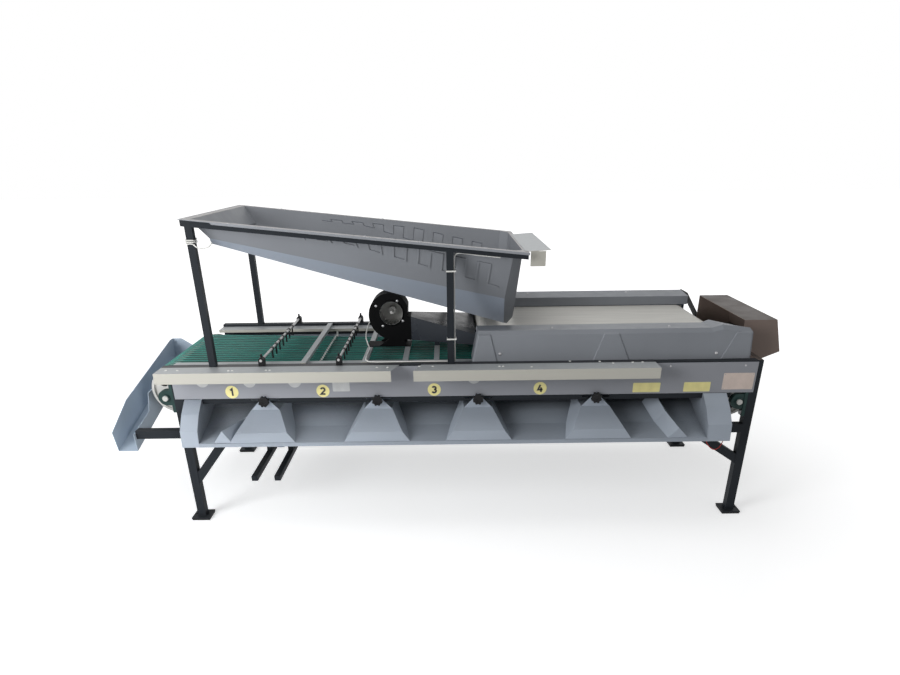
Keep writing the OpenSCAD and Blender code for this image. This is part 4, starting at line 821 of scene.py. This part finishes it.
fastenerPlaces = {
    "stripScrews": [("cover_strips", (x, y, 0.0), downward) for x, y in [
        (-1.331, -0.050), (-1.280, -0.052), (-1.049, -0.066), (-1.032, -0.066), (-0.882, -0.066),
        (-0.866, -0.066), (-0.394, -0.044), (-0.346, -0.043), (-0.205, -0.034), (-0.145, -0.037),
        (0.152, -0.050), (0.168, -0.050), (0.293, -0.064), (0.476, 0.018), (0.609, 0.007),
        (0.664, -0.020), (0.753, -0.013), (0.798, -0.011)]],
    "coverScrews": [
        ("near_cover", (0.159, 0.0, 0.034), inward), ("near_cover", (1.141, 0.0, 0.026), inward),
        ("near_cover", (0.399, 0.100, 0.1), downward), ("near_cover", (0.933, 0.100, 0.1), downward),
        ("far_cover", (0.360, 0.780, 0.1), downward), ("far_cover", (0.900, 0.780, 0.1), downward)],
    "plateRivets": [("near_fascia", (x, 0.0, z), inward)
                    for x in (1.185, 1.314) for z in (-0.129, -0.063)],
    "rimScrews": [("hopper", (x, y, 0.6), downward) for x, y in [
        (-0.969, 0.010), (-0.417, 0.010), (-0.187, 0.010), (0.091, 0.010), (-0.950, 0.870),
        (-0.417, 0.870)]],
    "fanScrews": [("fan_housing", (x, 0.3, z), inward) for x, z in [
        (-0.419, 0.202), (-0.317, 0.225), (-0.293, 0.129), (-0.391, 0.106)]],
    "bearingBolts": [("drum_bearings", (x, y, z + dz), rightward)
                     for x, z in ((-1.36, -0.145), (1.295, -0.197))
                     for y in (0.029, 0.869) for dz in (-0.0525, 0.0525)],
    "fasciaBolts": [("near_fascia", (x, 0.0, -0.022), inward) for x in (0.930, 1.270)],
}
# moves from the place met to the head's own place: on the plate, or back over its hole
fastenerShifts = {"plateRivets": (0.0, -labels["thick"], 0.0), "bearingBolts": (0.0, -0.009, 0.0)}


def makeFasteners():
    for kind, spots in fastenerPlaces.items():
        shift = fastenerShifts.get(kind, (0.0, 0.0, 0.0))
        places = []
        for node, point, direction in spots:
            place, normal = onSurface(node, point, direction)
            places.append((tuple(a + b for a, b in zip(place, shift)), normal))
        placeFasteners(kind, places)


makeFasteners()
print("fasteners placed")


# Bright ring round the blower's inlet

inletRing = {"middle": (-0.348, 0.2975, 0.168), "radius": 0.0565, "thick": 0.0045, "mat": "zinc_sheet",
             "around": 72, "across": 12}


def makeInletRing():
    s = inletRing
    bm = bmesh.new()
    around, across, half = s["around"], s["across"], s["thick"] / 2
    rings = []
    for i in range(around):
        a = math.tau * i / around
        ring = []
        for j in range(across):
            b = math.tau * j / across
            reach = s["radius"] + half * math.cos(b)
            ring.append(bm.verts.new((reach * math.cos(a), half * math.sin(b), reach * math.sin(a))))
        rings.append(ring)
    for i in range(around):
        low, high = rings[i], rings[(i + 1) % around]
        for j in range(across):
            k = (j + 1) % across
            bm.faces.new((low[j], high[j], high[k], low[k]))
    bmesh.ops.recalc_face_normals(bm, faces=bm.faces)
    mesh = meshFrom(bm, "blowerInletRing")
    smoothMesh(mesh)
    moveMesh(mesh, s["middle"])
    piece = finishPiece("blowerInletRing", mesh, looks[s["mat"]])


makeInletRing()
print("inlet ring made")


# Floor, light and background. A lamp is its name, place, aim, size, watts and beam in degrees

stageSettings = {
    "floorSize": 60.0,
    "floorTone": (0.84, 0.85, 0.86),
    "floorRough": 0.9,
    "floorShine": 0.1,
    "nearGlow": 0.55,
    "glowReach": (1.6, 4.5),
    "ambient": 0.24,
    "lamps": [
        ("keyLamp", (-3.1, -2.8, 1.9), (-0.5, 0.0, 0.8), 2.2, 102.0, 180.0),
        ("endLamp", (0.9, -3.4, 1.4), (-1.5, 0.05, 0.6), 0.6, 1.3, 30.0),
        ("overLamp", (-0.3, 0.2, 4.6), (0.0, 0.1, 0.6), 4.0, 48.0, 180.0),
        ("fillLamp", (3.4, -2.6, 2.6), (0.2, 0.0, 0.7), 2.4, 3.0, 180.0),
    ],
}


def backgroundRays(tree):
    # 1 for the rays that show the background: camera, glossy and transmission
    path = addNode(tree, "ShaderNodeLightPath")
    both = addNode(tree, "ShaderNodeMath", operation="MAXIMUM")
    rays = addNode(tree, "ShaderNodeMath", operation="MAXIMUM")
    tree.links.new(path.outputs["Is Camera Ray"], both.inputs[0])
    tree.links.new(path.outputs["Is Glossy Ray"], both.inputs[1])
    tree.links.new(both.outputs["Value"], rays.inputs[0])
    tree.links.new(path.outputs["Is Transmission Ray"], rays.inputs[1])
    return rays.outputs["Value"]


def makeFloor():
    s = stageSettings
    half = s["floorSize"] / 2
    mesh = bpy.data.meshes.new("floor")
    low = cadBox[0][2]
    corners = [(-half, -half, low), (half, -half, low), (half, half, low), (-half, half, low)]
    mesh.from_pydata(corners, [], [(0, 1, 2, 3)])
    floor = bpy.data.objects.new("floor", mesh)
    scene.collection.objects.link(floor)
    mat, tree, shader = newMaterial("floorPaper")
    shader.inputs["Base Color"].default_value = (*s["floorTone"], 1.0)
    shader.inputs["Roughness"].default_value = s["floorRough"]
    shader.inputs["Specular IOR Level"].default_value = s["floorShine"]
    shader.inputs["Emission Color"].default_value = (1.0, 1.0, 1.0, 1.0)
    length = addNode(tree, "ShaderNodeVectorMath", operation="LENGTH")
    tree.links.new(objectCoords(tree), length.inputs[0])
    away = spread(tree, length.outputs["Value"], s["nearGlow"], 1.0, *s["glowReach"])
    glow = addNode(tree, "ShaderNodeMath", operation="MULTIPLY")
    tree.links.new(backgroundRays(tree), glow.inputs[0])
    tree.links.new(away, glow.inputs[1])
    tree.links.new(glow.outputs["Value"], shader.inputs["Emission Strength"])
    mesh.materials.append(mat)


def makeWorld():
    world = bpy.data.worlds.new("studio")
    scene.world = world
    world.use_nodes = True
    tree = world.node_tree
    background = tree.nodes["Background"]
    background.inputs["Color"].default_value = (1.0, 1.0, 1.0, 1.0)
    strength = spread(tree, backgroundRays(tree), stageSettings["ambient"], 1.0, 0.0, 1.0)
    tree.links.new(strength, background.inputs["Strength"])


def makeLamps():
    for name, place, aim, size, power, beam in stageSettings["lamps"]:
        data = bpy.data.lights.new(name, "AREA")
        data.shape = "DISK"
        data.size = size
        data.energy = power
        data.spread = math.radians(beam)
        lamp = bpy.data.objects.new(name, data)
        scene.collection.objects.link(lamp)
        lamp.location = place
        lamp.rotation_euler = (Vector(aim) - Vector(place)).to_track_quat("-Z", "Y").to_euler()


makeFloor()
makeWorld()
makeLamps()
print("stage set")
